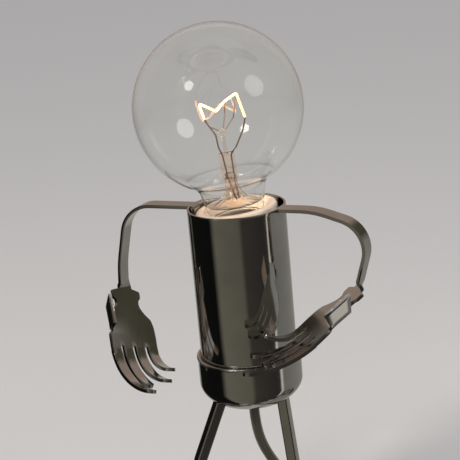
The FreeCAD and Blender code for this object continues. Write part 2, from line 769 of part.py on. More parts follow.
# Porcelain holder body: a glazed collar at the mouth, a body that narrows to its base,
# a bore for the screw shell and a hole for the cores.
def make_holder_body():
    collar_low = -HOLDER_COLLAR
    step = HOLDER_RADIUS - HOLDER_RIM_ROUND
    diagonal = HOLDER_RIM_ROUND * (1 - math.sqrt(0.5))
    lip_in = MOUTH_RADIUS + HOLDER_RIM_ROUND / 2
    lip_diagonal = HOLDER_RIM_ROUND / 2 * (1 - math.sqrt(0.5))
    body = turned(
        (0.0, -HOLDER_HEIGHT),
        [
            (HOLDER_BASE_RADIUS, -HOLDER_HEIGHT),
            (HOLDER_BASE_RADIUS + HOLDER_RIM_ROUND, -HOLDER_HEIGHT + HOLDER_RIM_ROUND),
            (HOLDER_BASE_RADIUS + HOLDER_RIM_ROUND, collar_low - HOLDER_RIM_ROUND),
            (HOLDER_RADIUS, collar_low),
            (HOLDER_RADIUS, -HOLDER_RIM_ROUND),
            ((HOLDER_RADIUS - diagonal, -diagonal), (step, 0.0)),
            (lip_in, 0.0),
            ((MOUTH_RADIUS + lip_diagonal, -lip_diagonal), (MOUTH_RADIUS, -HOLDER_RIM_ROUND / 2)),
            (MOUTH_RADIUS, -MOUTH_DEPTH),
            (SHELL_BORE_RADIUS, -MOUTH_DEPTH - HOLDER_RIM_ROUND),
            (SHELL_BORE_RADIUS, -SHELL_BORE_DEPTH),
            (0.0, -SHELL_BORE_DEPTH),
        ],
    )
    floor = HOLDER_HEIGHT - SHELL_BORE_DEPTH
    wire_hole = cylinder(WIRE_HOLE_RADIUS, 2 * floor, (-holder_base_x, 0, -HOLDER_HEIGHT - floor))
    body = body.cut(wire_hole)
    for side in (-1, 1):
        low = fixing_spot(side, -HOLDER_HEIGHT - OVERRUN)
        body = body.cut(cylinder(FIXING_RADIUS + SEAT_GAP, FIXING_LENGTH, low))
        x, y, z = terminal_spot(side)
        body = body.cut(cylinder(TERMINAL_RADIUS + SEAT_GAP, TERMINAL_LENGTH, (x, y, z - OVERRUN)))
    return body


def terminal_spot(side):
    return (0.0, side * TERMINAL_SPACING / 2, -HOLDER_HEIGHT)


def make_fixing_screw(side):
    """A screw up through the strap into the holder's base."""
    x, y, z = fixing_spot(side, -HOLDER_HEIGHT - strap_gap(side))
    shank = cylinder(FIXING_RADIUS, FIXING_LENGTH - OVERRUN + strap_gap(side) - SEAT_GAP, (x, y, z))
    head = cylinder(FIXING_HEAD_RADIUS, FIXING_HEAD, (x, y, z - FIXING_HEAD))
    slot_low = (x - FIXING_HEAD_RADIUS, y - SLOT_WIDTH / 2, z - FIXING_HEAD)
    slot_high = (x + FIXING_HEAD_RADIUS, y + SLOT_WIDTH / 2, z - FIXING_HEAD / 2)
    return shank.fuse(head).removeSplitter().cut(box(slot_low, slot_high))


def strap_gap(side):
    """How far below the holder's base the strap's underside lies at a fixing screw."""
    base = at_rim(Part.Vertex(*fixing_spot(side, -HOLDER_HEIGHT))).Point
    down = FreeCAD.Vector(math.sin(math.radians(HOLDER_LEAN)), 0, -math.cos(math.radians(HOLDER_LEAN)))
    far = base + down * HOLDER_HEIGHT
    line = Part.LineSegment(base, far).toShape()
    hits = line.section(bent_strap()).Vertexes
    lowest = min(hits, key=lambda vertex: vertex.Point.z)
    return (lowest.Point - base).Length + SEAT_GAP


def make_spacer(side):
    """A short tube on each fixing screw, which fills the space between the strap and the holder."""
    gap = strap_gap(side) - STRAP_THICKNESS - 4 * SEAT_GAP
    low = fixing_spot(side, -HOLDER_HEIGHT - gap - SEAT_GAP)
    tube = cylinder(SPACER_RADIUS, gap, low)
    return tube.cut(cylinder(FIXING_RADIUS + SEAT_GAP, gap, low))


# Screw shell and cap: a rolled thread, drawn as rings of one pitch.
def threaded_tube(radius, wall, depth, top, bottom, ends):
    """A thin turned tube with rolled rings; ends are its plain collars' lengths at top and bottom."""
    outer = [(radius - depth, top)]
    inner = [(radius - depth - wall, top)]
    z = top - ends
    count = int((top - bottom - 2 * ends) / THREAD_PITCH)
    for side, line in ((0.0, outer), (wall, inner)):
        line.append((radius - depth - side, z))
        for i in range(count):
            start = z - i * THREAD_PITCH
            crest = (radius - side, start - THREAD_PITCH / 2)
            root = (radius - depth - side, start - THREAD_PITCH)
            line.append((crest, root))
        line.append((radius - depth - side, bottom))
    start = outer[0]
    back = [inner[-1]]
    for i in range(count - 1, -1, -1):
        before = z - i * THREAD_PITCH
        crest = (radius - wall, before - THREAD_PITCH / 2)
        back.append((crest, (radius - depth - wall, before)))
    steps = outer[1:]
    steps.append(back[0])
    first_root = (radius - depth - wall, z - count * THREAD_PITCH)
    steps.append(first_root)
    steps += back[1:]
    steps.append(inner[0])
    return turned(start, steps)


def make_screw_shell():
    crest = SHELL_RADIUS + SHELL_THREAD_DEPTH
    top = -SHELL_TOP_DEPTH
    return threaded_tube(crest, SHELL_WALL, SHELL_THREAD_DEPTH, top, -SHELL_BOTTOM_DEPTH, OVERRUN)


def make_centre_contact():
    """A leaf spring on the bore's floor, which rises to the bulb's end contact."""
    floor = -SHELL_BORE_DEPTH + CONTACT_THICKNESS / 2 + SEAT_GAP
    top = floor + CONTACT_RISE
    points = [
        (CONTACT_SLOPE + CONTACT_SEAT, floor),
        (CONTACT_SLOPE, floor),
        (0.0, top),
        (-CONTACT_REACH, top),
    ]
    return ribbon(points, [CONTACT_BEND_RADIUS, CONTACT_BEND_RADIUS], CONTACT_THICKNESS, CONTACT_WIDTH)


def make_terminal_screw(side):
    x, y, z = terminal_spot(side)
    screw = cylinder(TERMINAL_RADIUS, TERMINAL_LENGTH, (x, y, z - OVERRUN - SEAT_GAP))
    slot_low = (x - TERMINAL_RADIUS, y - SLOT_WIDTH / 2, z - OVERRUN * 2)
    slot_high = (x + TERMINAL_RADIUS, y + SLOT_WIDTH / 2, z - OVERRUN / 2)
    return screw.cut(box(slot_low, slot_high))


def make_core(side):
    """One insulated core, from the cord's end in the rod's bore up into the holder's wire hole."""
    low = CUP_BOTTOM_HEIGHT + BUSH_NECK + SEAT_GAP
    high = RIM - HOLDER_DROP - HOLDER_HEIGHT + CORE_TOP_CLEARANCE
    return cylinder(CORE_RADIUS, high - low, (0, side * CORE_SPACING / 2, low))


# Bulb: glass envelope, cap, insulator and end contact.
def glass_outline(inset):
    """Outline of the envelope from its top to the cap, drawn in by inset, as a start and steps."""
    radius = GLOBE_RADIUS - inset
    join_z = NECK_JOIN_HEIGHT
    join_x = math.sqrt(radius ** 2 - (GLOBE_CENTRE - join_z) ** 2)
    start = (0.0, GLOBE_CENTRE + radius)
    waist = NECK_WAIST_RADIUS - inset
    neck = NECK_RADIUS - inset
    end = NECK_ROUND_RADIUS - inset
    flare_x = waist + (join_x - waist) * FLARE_MIDDLE[0]
    flare_z = NECK_WAIST_HEIGHT + (join_z - NECK_WAIST_HEIGHT) * FLARE_MIDDLE[1]
    round_x = end + (neck - end) * NECK_ROUND_MIDDLE[0]
    round_z = NECK_HEIGHT + (NECK_ROUND_HEIGHT - NECK_HEIGHT) * NECK_ROUND_MIDDLE[1]
    steps = [
        ((radius, GLOBE_CENTRE), (join_x, join_z)),
        ((flare_x, flare_z), (waist, NECK_WAIST_HEIGHT)),
        (neck, NECK_HEIGHT),
        ((round_x, round_z), (end, NECK_ROUND_HEIGHT)),
    ]
    return start, steps


def make_bulb_glass():
    shapes = []
    for inset in (0.0, GLASS_WALL):
        start, steps = glass_outline(inset)
        shapes.append(turned(start, steps + [(0.0, NECK_ROUND_HEIGHT)]))
    glass = shapes[0].cut(shapes[1])
    return glass


def make_bulb_cap():
    bottom = CAP_TOP - CAP_LENGTH + CAP_TAPER
    tube = threaded_tube(CAP_RADIUS, CAP_WALL, CAP_THREAD_DEPTH, CAP_TOP, bottom, OVERRUN)
    root = CAP_RADIUS - CAP_THREAD_DEPTH
    taper = turned(
        (root - CAP_WALL, bottom),
        [
            (root, bottom),
            (CAP_END_RADIUS, bottom - CAP_TAPER),
            (CAP_END_RADIUS - CAP_WALL, bottom - CAP_TAPER + CAP_WALL),
        ],
    )
    return tube.fuse(taper).removeSplitter()


cap_end = CAP_TOP - CAP_LENGTH


def make_cap_insulator():
    slope = CAP_END_RADIUS - CAP_WALL - 2 * SEAT_GAP
    return turned(
        (0.0, cap_end + CAP_WALL),
        [
            (slope, cap_end + CAP_WALL),
            (slope, cap_end),
            (CAP_CONTACT_RADIUS, cap_end - INSULATOR_HEIGHT),
            (0.0, cap_end - INSULATOR_HEIGHT),
        ],
    )


def make_cap_contact():
    """The end contact: a disc with a domed lower face."""
    top = cap_end - INSULATOR_HEIGHT - SEAT_GAP
    bottom = top - CAP_CONTACT_HEIGHT
    sphere = (CAP_CONTACT_RADIUS ** 2 + CAP_CONTACT_DOME ** 2) / (2 * CAP_CONTACT_DOME)
    half_way = math.asin(CAP_CONTACT_RADIUS / sphere) / 2
    middle = (sphere * math.sin(half_way), bottom + sphere * (1 - math.cos(half_way)))
    return turned(
        (0.0, top),
        [
            (CAP_CONTACT_RADIUS, top),
            (CAP_CONTACT_RADIUS, bottom + CAP_CONTACT_DOME),
            (middle, (0.0, bottom)),
        ],
    )


# Glass stem, with its flare in the neck, its flat pinch, rod and button.
def make_bulb_stem():
    flare_radius = NECK_RADIUS - GLASS_WALL - STEM_FLARE_CLEARANCE
    middle_x = STEM_TUBE_RADIUS + (flare_radius - STEM_TUBE_RADIUS) * STEM_FLARE_MIDDLE
    middle_z = STEM_FLARE_HEIGHT + (STEM_PINCH_BOTTOM - STEM_FLARE_HEIGHT) * STEM_FLARE_MIDDLE
    flare = turned(
        (0.0, STEM_FLARE_HEIGHT),
        [
            (flare_radius, STEM_FLARE_HEIGHT),
            ((middle_x, middle_z), (STEM_TUBE_RADIUS, STEM_PINCH_BOTTOM)),
            (STEM_TAPER_RADIUS, STEM_PINCH_BOTTOM + STEM_TUBE_RADIUS),
            (0.0, STEM_PINCH_BOTTOM + STEM_TUBE_RADIUS),
        ],
    )
    pinch = box(
        (-PINCH_HALF_WIDTH, -PINCH_THICKNESS / 2, STEM_PINCH_BOTTOM),
        (PINCH_HALF_WIDTH, PINCH_THICKNESS / 2, STEM_PINCH_TOP),
    )
    upright = [e for e in pinch.Edges if abs(e.Length - (STEM_PINCH_TOP - STEM_PINCH_BOTTOM)) < SEAT_GAP]
    pinch = pinch.makeFillet(PINCH_EDGE_ROUND, upright)
    rod = cylinder(STEM_ROD_RADIUS, BUTTON_HEIGHT - STEM_PINCH_TOP + OVERRUN, (0, 0, STEM_PINCH_TOP - OVERRUN))
    button = Part.makeSphere(BUTTON_RADIUS, FreeCAD.Vector(0, 0, BUTTON_HEIGHT))
    return fused(flare, [pinch, rod, button])


def wire(points, radius):
    return swept(points, bend_radii(points, WIRE_BEND_SHARE), radius)


# Arm and hand, bent from one sheet.
def hand_frame(wrist, points_to, faces):
    """Placement whose X runs along the hand and whose Z leaves the palm."""
    along = FreeCAD.Vector(*points_to).normalize()
    palm = FreeCAD.Vector(*faces)
    palm = (palm - along * palm.dot(along)).normalize()
    across = palm.cross(along)
    rotation = FreeCAD.Rotation(along, across, palm, "XZY")
    return FreeCAD.Placement(wrist, rotation)


def plate(points, thickness):
    """A flat plate from an outline in XY of lines and arcs, centred on its own thickness."""
    edges = []
    here = FreeCAD.Vector(points[0][0], points[0][1], -thickness / 2)
    first = here
    for step in points[1:] + [points[0]]:
        if isinstance(step[0], tuple):
            middle = FreeCAD.Vector(step[0][0], step[0][1], -thickness / 2)
            end = FreeCAD.Vector(step[1][0], step[1][1], -thickness / 2)
            edges.append(Part.Arc(here, middle, end).toShape())
        else:
            end = FreeCAD.Vector(step[0], step[1], -thickness / 2)
            if (end - here).Length > 0:
                edges.append(Part.LineSegment(here, end).toShape())
        here = end
    if (here - first).Length > 0:
        edges.append(Part.LineSegment(here, first).toShape())
    return Part.Face(Part.Wire(edges)).extrude(FreeCAD.Vector(0, 0, thickness))


def make_finger(number, length, curl, side):
    """A finger that curls towards the palm side, with a rounded tip."""
    pitch = (2 * PALM_HALF - FINGER_WIDTH) / (len(FINGER_LENGTHS) - 1)
    y = side * (PALM_HALF - FINGER_WIDTH / 2 - number * pitch)
    turn = math.radians(curl)
    radius = length / turn
    corner = radius * math.tan(turn / 2)
    root = PALM_LENGTH - FINGER_ROOT
    bend = (PALM_LENGTH + corner - OVERRUN, 0.0)
    tail = corner + OVERRUN
    tip = (bend[0] + tail * math.cos(turn), tail * math.sin(turn))
    strip = ribbon([(root, 0.0), bend, tip], [radius], SHEET, FINGER_WIDTH)
    tip_point = FreeCAD.Vector(tip[0], 0, tip[1])
    edges = []
    for edge in strip.Edges:
        middle = edge.CenterOfMass
        at_side = abs(abs(middle.y) - FINGER_WIDTH / 2) < SEAT_GAP
        if at_side and abs(edge.Length - SHEET) < SEAT_GAP and (middle - tip_point).Length < FINGER_WIDTH:
            edges.append(edge)
    strip = strip.makeFillet(FINGER_TIP_ROUND, edges)
    strip.translate(FreeCAD.Vector(0, y, 0))
    return strip


def make_hand(side, curls):
    """A hand in its own frame. side is 1 where the thumb is on the -Y side, -1 for the other."""
    half = STRIP_WIDTH / 2
    ear = CUFF_EAR_HALF
    neck = CUFF_NECK_HALF
    right_edge = [
        (0.0, half),
        (CUFF_EAR_START, ear),
        (CUFF_EAR_END, ear),
        (CUFF_NECK_DISTANCE, neck),
        (
            (CUFF_NECK_DISTANCE + PALM_BULGE[0], neck + PALM_BULGE[1]),
            (PALM_SIDE_DISTANCE - PALM_SHOULDER[0], PALM_HALF - PALM_SHOULDER[1]),
        ),
        ((PALM_SIDE_DISTANCE, PALM_HALF - PALM_SIDE_ROUND[1]), (PALM_LENGTH - PALM_SIDE_ROUND[0], PALM_HALF)),
        (PALM_LENGTH, PALM_HALF),
    ]
    left_edge = [
        (PALM_LENGTH, -PALM_HALF),
        (THUMB_ROOT_END + OVERRUN, -PALM_HALF),
        (THUMB_ROOT_START, -PALM_HALF + THUMB_FOLD_INSET),
        ((THUMB_ROOT_START - THUMB_HEEL[0], -neck - THUMB_HEEL[1]), (CUFF_NECK_DISTANCE, -neck)),
        (CUFF_EAR_END, -ear),
        (CUFF_EAR_START, -ear),
        (0.0, -half),
    ]
    outline = []
    for step in right_edge + left_edge:
        if isinstance(step[0], tuple):
            outline.append(tuple((x, y * side) for x, y in step))
        else:
            outline.append((step[0], step[1] * side))
    palm = plate(outline, SHEET)
    pieces = []
    for number, length in enumerate(FINGER_LENGTHS):
        pieces.append(make_finger(number, length, curls[number], side))
    pieces.append(make_thumb(side))
    return fused(palm, pieces)


def make_thumb(side):
    """The thumb: a flared tab on the palm's edge, folded up towards the palm side."""
    fold_y = -PALM_HALF + THUMB_FOLD_INSET
    outline = [
        (THUMB_ROOT_START, OVERRUN),
        (THUMB_ROOT_END, OVERRUN),
        (THUMB_EDGE_END, -THUMB_LENGTH),
        (THUMB_EDGE_START, -THUMB_LENGTH),
    ]
    tab = plate(outline, SHEET)
    corners = []
    for edge in tab.Edges:
        middle = edge.CenterOfMass
        if abs(edge.Length - SHEET) < SEAT_GAP and middle.y < -THUMB_LENGTH + OVERRUN:
            corners.append(edge)
    tab = tab.makeFillet(FINGER_TIP_ROUND, corners)
    knuckle = cylinder(SHEET / 2, THUMB_ROOT_END - THUMB_ROOT_START, (THUMB_ROOT_START, 0, 0), (1, 0, 0))
    tab = tab.fuse(knuckle)
    tab.rotate(FreeCAD.Vector(), FreeCAD.Vector(1, 0, 0), -THUMB_FOLD)
    tab.translate(FreeCAD.Vector(0, fold_y, 0))
    if side < 0:
        tab = tab.mirror(FreeCAD.Vector(), FreeCAD.Vector(0, 1, 0))
    return tab


def out_from_axis(turn, distance, height):
    angle = math.radians(turn)
    return FreeCAD.Vector(distance * math.cos(angle), distance * math.sin(angle), RIM + height)


def make_tab(turn):
    """The arm's root, bent down inside the tube and following its wall."""
    outer = tube_inner - TAB_GAP
    low = RIM - TAB_LENGTH
    ring = cylinder(outer, TAB_LENGTH, (0, 0, low)).cut(cylinder(outer - SHEET, TAB_LENGTH, (0, 0, low)))
    half = STRIP_WIDTH / 2
    tab = ring.common(box((0, -half, low), (TUBE_RADIUS, half, RIM)))
    tab.rotate(FreeCAD.Vector(), FreeCAD.Vector(0, 0, 1), turn)
    return tab


def make_arm(turn, points, bends, wrist, frame_dirs, hand_side, curls):
    middle = -SHEET / 2
    path = [(ARM_START, middle)] + points
    strip = ribbon([(r, RIM + z) for r, z in path], bends, SHEET, STRIP_WIDTH)
    strip.rotate(FreeCAD.Vector(), FreeCAD.Vector(0, 0, 1), turn)
    wrist_point = out_from_axis(turn, *wrist)
    placement = hand_frame(wrist_point, *frame_dirs)
    hand = make_hand(hand_side, curls)
    hand.Placement = placement.multiply(hand.Placement)
    # The twisted link between the strip's end and the hand.
    end = out_from_axis(turn, *path[-1])
    before = out_from_axis(turn, *path[-2])
    along = (end - before).normalize()
    angle = math.radians(turn)
    across = FreeCAD.Vector(-math.sin(angle), math.cos(angle), 0)
    hand_along = placement.Rotation.multVec(FreeCAD.Vector(1, 0, 0))
    hand_across = placement.Rotation.multVec(FreeCAD.Vector(0, 1, 0))
    hand_palm = placement.Rotation.multVec(FreeCAD.Vector(0, 0, 1))
    if hand_across.dot(across) < 0:
        across = across * -1
    palm = along.cross(across)
    if palm.dot(hand_palm) < 0:
        palm = palm * -1
    sections = []
    for centre, wide, thick in (
        (end - along * 2 * SEAT_GAP, across, palm),
        (wrist_point + hand_along * 2 * SEAT_GAP, hand_across, hand_palm),
    ):
        corners = []
        for a, b in ((1, 1), (-1, 1), (-1, -1), (1, -1), (1, 1)):
            corners.append(centre + wide * (a * STRIP_WIDTH / 2) + thick * (b * SHEET / 2))
        sections.append(Part.makePolygon(corners))
    link = Part.makeLoft(sections, True, True)
    return fused(hand, [link, strip, make_tab(turn)])


# Inline switch.
def switch_outline(low, high):
    """Plan of the switch housing: a body that narrows to a nose at each end."""
    end = SWITCH_START + SWITCH_LENGTH
    wide = SWITCH_WIDTH / 2
    nose = SWITCH_END_WIDTH / 2
    middle_y = CORD_DROP[-1][1]
    points = [
        (SWITCH_START, nose),
        (SWITCH_START + SWITCH_SHOULDER, wide),
        (end - SWITCH_SHOULDER, wide),
        (end, nose),
        (end, -nose),
        (end - SWITCH_SHOULDER, -wide),
        (SWITCH_START + SWITCH_SHOULDER, -wide),
        (SWITCH_START, -nose),
        (SWITCH_START, nose),
    ]
    outline = Part.makePolygon([FreeCAD.Vector(x, middle_y + y, low) for x, y in points])
    return Part.Face(outline).extrude(FreeCAD.Vector(0, 0, high - low))


switch_y = CORD_DROP[-1][1]
switch_middle_x = SWITCH_START + SWITCH_LENGTH / 2
switch_low = SWITCH_FLOOR_GAP
switch_split = switch_low + SWITCH_HALF_HEIGHT
switch_top = switch_split + SWITCH_HALF_HEIGHT
axle_z = switch_top - ROCKER_DEPTH / 2


def make_switch_half(low, high, round_top):
    half = switch_outline(low, high)
    face_z = high if round_top else low
    edges = []
    for edge in half.Edges:
        if all(abs(vertex.Point.z - face_z) < SEAT_GAP for vertex in edge.Vertexes):
            edges.append(edge)
    return half.makeFillet(SWITCH_EDGE_ROUND, edges)


def switch_screw_spots():
    reach = SWITCH_LENGTH / 2 - SWITCH_SCREW_INSET
    return [(switch_middle_x - reach, switch_y), (switch_middle_x + reach, switch_y)]


def make_switch_cover():
    cover = make_switch_half(switch_split, switch_top, True)
    half_x = ROCKER_LENGTH / 2 + ROCKER_CLEARANCE
    half_y = ROCKER_WIDTH / 2 + ROCKER_CLEARANCE
    pocket = box(
        (switch_middle_x - half_x, switch_y - half_y, switch_split),
        (switch_middle_x + half_x, switch_y + half_y, switch_top + OVERRUN),
    )
    cover = cover.cut(pocket)
    span = half_y + AXLE_LENGTH
    axle = cylinder(AXLE_RADIUS + AXLE_CLEARANCE, 2 * span, (switch_middle_x, switch_y - span, axle_z), (0, 1, 0))
    cover = cover.cut(axle)
    for x, y in switch_screw_spots():
        hole_top = switch_low + SWITCH_SCREW_LENGTH + SWITCH_SCREW_HEAD
        hole = cylinder(SWITCH_SCREW_RADIUS + SEAT_GAP, hole_top - switch_split, (x, y, switch_split))
        cover = cover.cut(hole)
    return cover


def make_switch_base():
    base = make_switch_half(switch_low, switch_split, False)
    for x, y in switch_screw_spots():
        base = base.cut(cylinder(SWITCH_SCREW_RADIUS + SEAT_GAP, SWITCH_HALF_HEIGHT, (x, y, switch_low)))
        recess = cylinder(SWITCH_SCREW_HEAD_RADIUS + SEAT_GAP, 2 * SWITCH_SCREW_HEAD, (x, y, switch_low))
        base = base.cut(recess)
    return base


def make_switch_screws():
    screws = []
    for x, y in switch_screw_spots():
        seat = switch_low + 2 * SWITCH_SCREW_HEAD - SEAT_GAP
        shank = cylinder(SWITCH_SCREW_RADIUS, SWITCH_SCREW_LENGTH - 2 * SWITCH_SCREW_HEAD, (x, y, seat))
        head = cylinder(SWITCH_SCREW_HEAD_RADIUS, SWITCH_SCREW_HEAD, (x, y, seat - SWITCH_SCREW_HEAD))
        screws.append(shank.fuse(head).removeSplitter())
    return Part.makeCompound(screws)


def make_switch_rocker():
    """The rocker, at rest with its left half pressed in, on two stub axles."""
    half = ROCKER_LENGTH / 2
    lean = math.radians(ROCKER_ANGLE / 2)
    crown = switch_top + ROCKER_PROUD / 2
    low = axle_z - ROCKER_DEPTH / 2
    rise = half * math.tan(lean)
    foot = half * ROCKER_FOOT_SHARE
    outline = [(-half, crown + rise), (0.0, crown - rise * ROCKER_DIP_SHARE), (half, crown + rise)]
    outline += [(half, axle_z), (foot, low), (-foot, low), (-half, axle_z), (-half, crown + rise)]
    face = Part.Face(Part.makePolygon([FreeCAD.Vector(x, 0, z) for x, z in outline]))
    body = face.extrude(FreeCAD.Vector(0, ROCKER_WIDTH, 0))
    body.translate(FreeCAD.Vector(0, -ROCKER_WIDTH / 2, 0))
    span = ROCKER_WIDTH / 2 + AXLE_LENGTH
    axle = cylinder(AXLE_RADIUS, 2 * span, (0, -span, axle_z), (0, 1, 0))
    rocker = body.fuse(axle).removeSplitter()
    rocker.rotate(FreeCAD.Vector(0, 0, axle_z), FreeCAD.Vector(0, 1, 0), -ROCKER_ANGLE / 2)
    rocker.translate(FreeCAD.Vector(switch_middle_x, switch_y, 0))
    return rocker


# Coil and plug.
def make_cord_coil():
    inner = COIL_MIDDLE_RADIUS - COIL_BUNDLE_WIDTH / 2
    outer = COIL_MIDDLE_RADIUS + COIL_BUNDLE_WIDTH / 2
    ring = cylinder(outer, COIL_HEIGHT, (0, 0, COIL_FLOOR_GAP))
    ring = ring.cut(cylinder(inner, COIL_HEIGHT, (0, 0, COIL_FLOOR_GAP)))
    edges = [e for e in ring.Edges if e.Curve.TypeId == "Part::GeomCircle"]
    ring = ring.makeFillet(COIL_ROUND, edges)
    ring.translate(FreeCAD.Vector(COIL_CENTRE[0], COIL_CENTRE[1], 0))
    return ring


plug_middle_z = PLUG_FLOOR_GAP + PLUG_THICKNESS / 2


def at_plug(shape):
    """Turn and move a piece that was drawn with the plug's face at zero and its pins towards -Y."""
    piece = shape.copy()
    piece.rotate(FreeCAD.Vector(), FreeCAD.Vector(0, 0, 1), PLUG_TURN)
    piece.translate(FreeCAD.Vector(PLUG_FRONT[0], PLUG_FRONT[1], 0))
    return piece


def make_plug_body():
    """Moulded body with a tapered strain relief at its back."""
    wide = PLUG_WIDTH / 2
    tail = PLUG_TAIL_WIDTH / 2
    points = [
        (-wide, 0.0),
        (wide, 0.0),
        (wide, PLUG_LENGTH - PLUG_SHOULDER),
        (tail, PLUG_LENGTH),
        (-tail, PLUG_LENGTH),
        (-wide, PLUG_LENGTH - PLUG_SHOULDER),
        (-wide, 0.0),
    ]
    outline = Part.makePolygon([FreeCAD.Vector(x, y, PLUG_FLOOR_GAP) for x, y in points])
    body = Part.Face(outline).extrude(FreeCAD.Vector(0, 0, PLUG_THICKNESS))
    flat_edges = []
    for edge in body.Edges:
        if abs(edge.Vertexes[0].Point.z - edge.Vertexes[-1].Point.z) < SEAT_GAP:
            flat_edges.append(edge)
    body = body.makeFillet(PLUG_ROUND, flat_edges)
    tail_start = FreeCAD.Vector(0, PLUG_LENGTH - OVERRUN, plug_middle_z)
    relief_length = RELIEF_LENGTH + OVERRUN
    relief = Part.makeCone(
        RELIEF_WIDE_RADIUS, RELIEF_NARROW_RADIUS, relief_length, tail_start, FreeCAD.Vector(0, 1, 0)
    )
    body = body.fuse(relief).removeSplitter()
    for side in (-1, 1):
        x = side * PIN_SPACING / 2
        body = body.cut(cylinder(PIN_NECK_RADIUS, PIN_ROOT, (x, 0, plug_middle_z), (0, 1, 0)))
    return at_plug(body)


def make_plug_pins():
    """Two pins, each a thinner neck that stands in the plug and a bare contact at its end."""
    pins = []
    for side in (-1, 1):
        x = side * PIN_SPACING / 2
        neck_start = (x, PIN_ROOT, plug_middle_z)
        neck = cylinder(PIN_NECK_RADIUS, PIN_ROOT + PIN_NECK_LENGTH, neck_start, (0, -1, 0))
        contact_start = (x, -PIN_NECK_LENGTH, plug_middle_z)
        contact = cylinder(PIN_RADIUS, PIN_LENGTH - PIN_NECK_LENGTH, contact_start, (0, -1, 0))
        pins.append(neck.fuse(contact).removeSplitter())
    return at_plug(Part.makeCompound(pins))


# Cord: the hanging stretch to the switch, and the stretch from the switch to the coil.
def make_cord(points, name):
    radii = bend_radii(points, CORD_BEND_SHARE)
    tube = swept(points, radii, CORD_WIDTH / 2)
    path = Part.Wire(rounded_path(points, radii))
    ideal = math.pi * CORD_WIDTH ** 2 / 4 * path.Length
    print(name, "bend radii", [round(r) for r in radii], "length", round(path.Length, 1))
    print(name, "volume over section times length", round(tube.Volume / ideal, 4))
    return tube


cord_exit = (0.0, 0.0, CUP_BOTTOM_HEIGHT - BUSH_FLANGE)
cord_to_switch = [cord_exit] + CORD_DROP + [(SWITCH_START, switch_y, CORD_FLOOR)]
switch_far_end = (SWITCH_START + SWITCH_LENGTH, switch_y, CORD_FLOOR)
cord_to_coil = [switch_far_end] + CORD_AFTER_SWITCH
cord_to_plug = CORD_TO_PLUG + [(PLUG_FRONT[0] + PLUG_LENGTH + RELIEF_LENGTH, PLUG_FRONT[1], plug_middle_z)]

os.makedirs("parts", exist_ok=True)

export("body_tube", make_body_tube())
export("base_cup", make_base_cup())
export("tie_rod", make_tie_rod())
cup_washer = cup_floor + SEAT_GAP
strap_washer = strap_bottom + STRAP_THICKNESS + SEAT_GAP
cup_nut = cup_washer + WASHER_THICKNESS + SEAT_GAP
lower_strap_nut = strap_bottom - NUT_HEIGHT - SEAT_GAP
upper_strap_nut = strap_washer + WASHER_THICKNESS + SEAT_GAP
export("rod_nuts", Part.makeCompound([nut_at(cup_nut), nut_at(lower_strap_nut), nut_at(upper_strap_nut)]))
export("rod_washers", Part.makeCompound([washer_at(cup_washer), washer_at(strap_washer)]))
export("cord_bush", make_cord_bush())
export("holder_bracket", make_holder_bracket())
export("holder_spacers", at_rim(Part.makeCompound([make_spacer(-1), make_spacer(1)])))
export("holder_screws", at_rim(Part.makeCompound([make_fixing_screw(-1), make_fixing_screw(1)])))
export("holder_body", at_rim(make_holder_body()))
export("screw_shell", at_rim(make_screw_shell()))
export("centre_contact", at_rim(make_centre_contact()))
export("terminal_screws", at_rim(Part.makeCompound([make_terminal_screw(-1), make_terminal_screw(1)])))
export("inner_cores", Part.makeCompound([make_core(-1), make_core(1)]))

export("bulb_glass", at_rim(make_bulb_glass()))
export("bulb_cap", at_rim(make_bulb_cap()))
export("cap_insulator", at_rim(make_cap_insulator()))
export("cap_contact", at_rim(make_cap_contact()))
export("bulb_stem", at_rim(make_bulb_stem()))
export("lead_wires", at_rim(Part.makeCompound([wire(LEFT_LEAD, LEAD_RADIUS), wire(RIGHT_LEAD, LEAD_RADIUS)])))
supports = [wire(path, SUPPORT_RADIUS) for path in (LEFT_SUPPORT, BACK_SUPPORT, RIGHT_SUPPORT)]
export("support_wires", at_rim(Part.makeCompound(supports)))
export("filament", at_rim(wire(FILAMENT_PATH, FILAMENT_RADIUS)))

export("left_arm", make_arm(
    LEFT_ARM_TURN,
    [(LEFT_ARM_SHOULDER, -SHEET / 2), LEFT_ARM_ELBOW, LEFT_ARM_END],
    [LEFT_ARM_SHOULDER_BEND, LEFT_ARM_ELBOW_BEND],
    LEFT_WRIST, (LEFT_HAND_POINTS, LEFT_PALM_FACES), 1, LEFT_FINGER_CURLS,
))
export("right_arm", make_arm(
    RIGHT_ARM_TURN,
    [RIGHT_ARM_SLOPE, RIGHT_ARM_SHOULDER, RIGHT_ARM_END],
    [RIGHT_ARM_SLOPE_BEND, RIGHT_ARM_SHOULDER_BEND],
    RIGHT_WRIST, (RIGHT_HAND_POINTS, RIGHT_PALM_FACES), -1, RIGHT_FINGER_CURLS,
))

leg_screws = []
leg_washers = []
sole_screws = []
for leg_name, (hip, knee, ankle, bend, turn) in legs.items():
    export(leg_name + "_leg", about_axis(make_leg(hip, knee, ankle, bend), turn))
    spot = heel_spot(ankle, turn)
    export(leg_name + "_sole", make_sole(spot, 1 if spot.x > 0 else -1))
    screw, washer = make_leg_screw(hip, knee)
    leg_screws.append(about_axis(screw, turn))
    leg_washers.append(about_axis(washer, turn))
    sole_screws.append(make_sole_screw(spot))
export("leg_screws", Part.makeCompound(leg_screws))
export("leg_washers", Part.makeCompound(leg_washers))
export("sole_screws", Part.makeCompound(sole_screws))

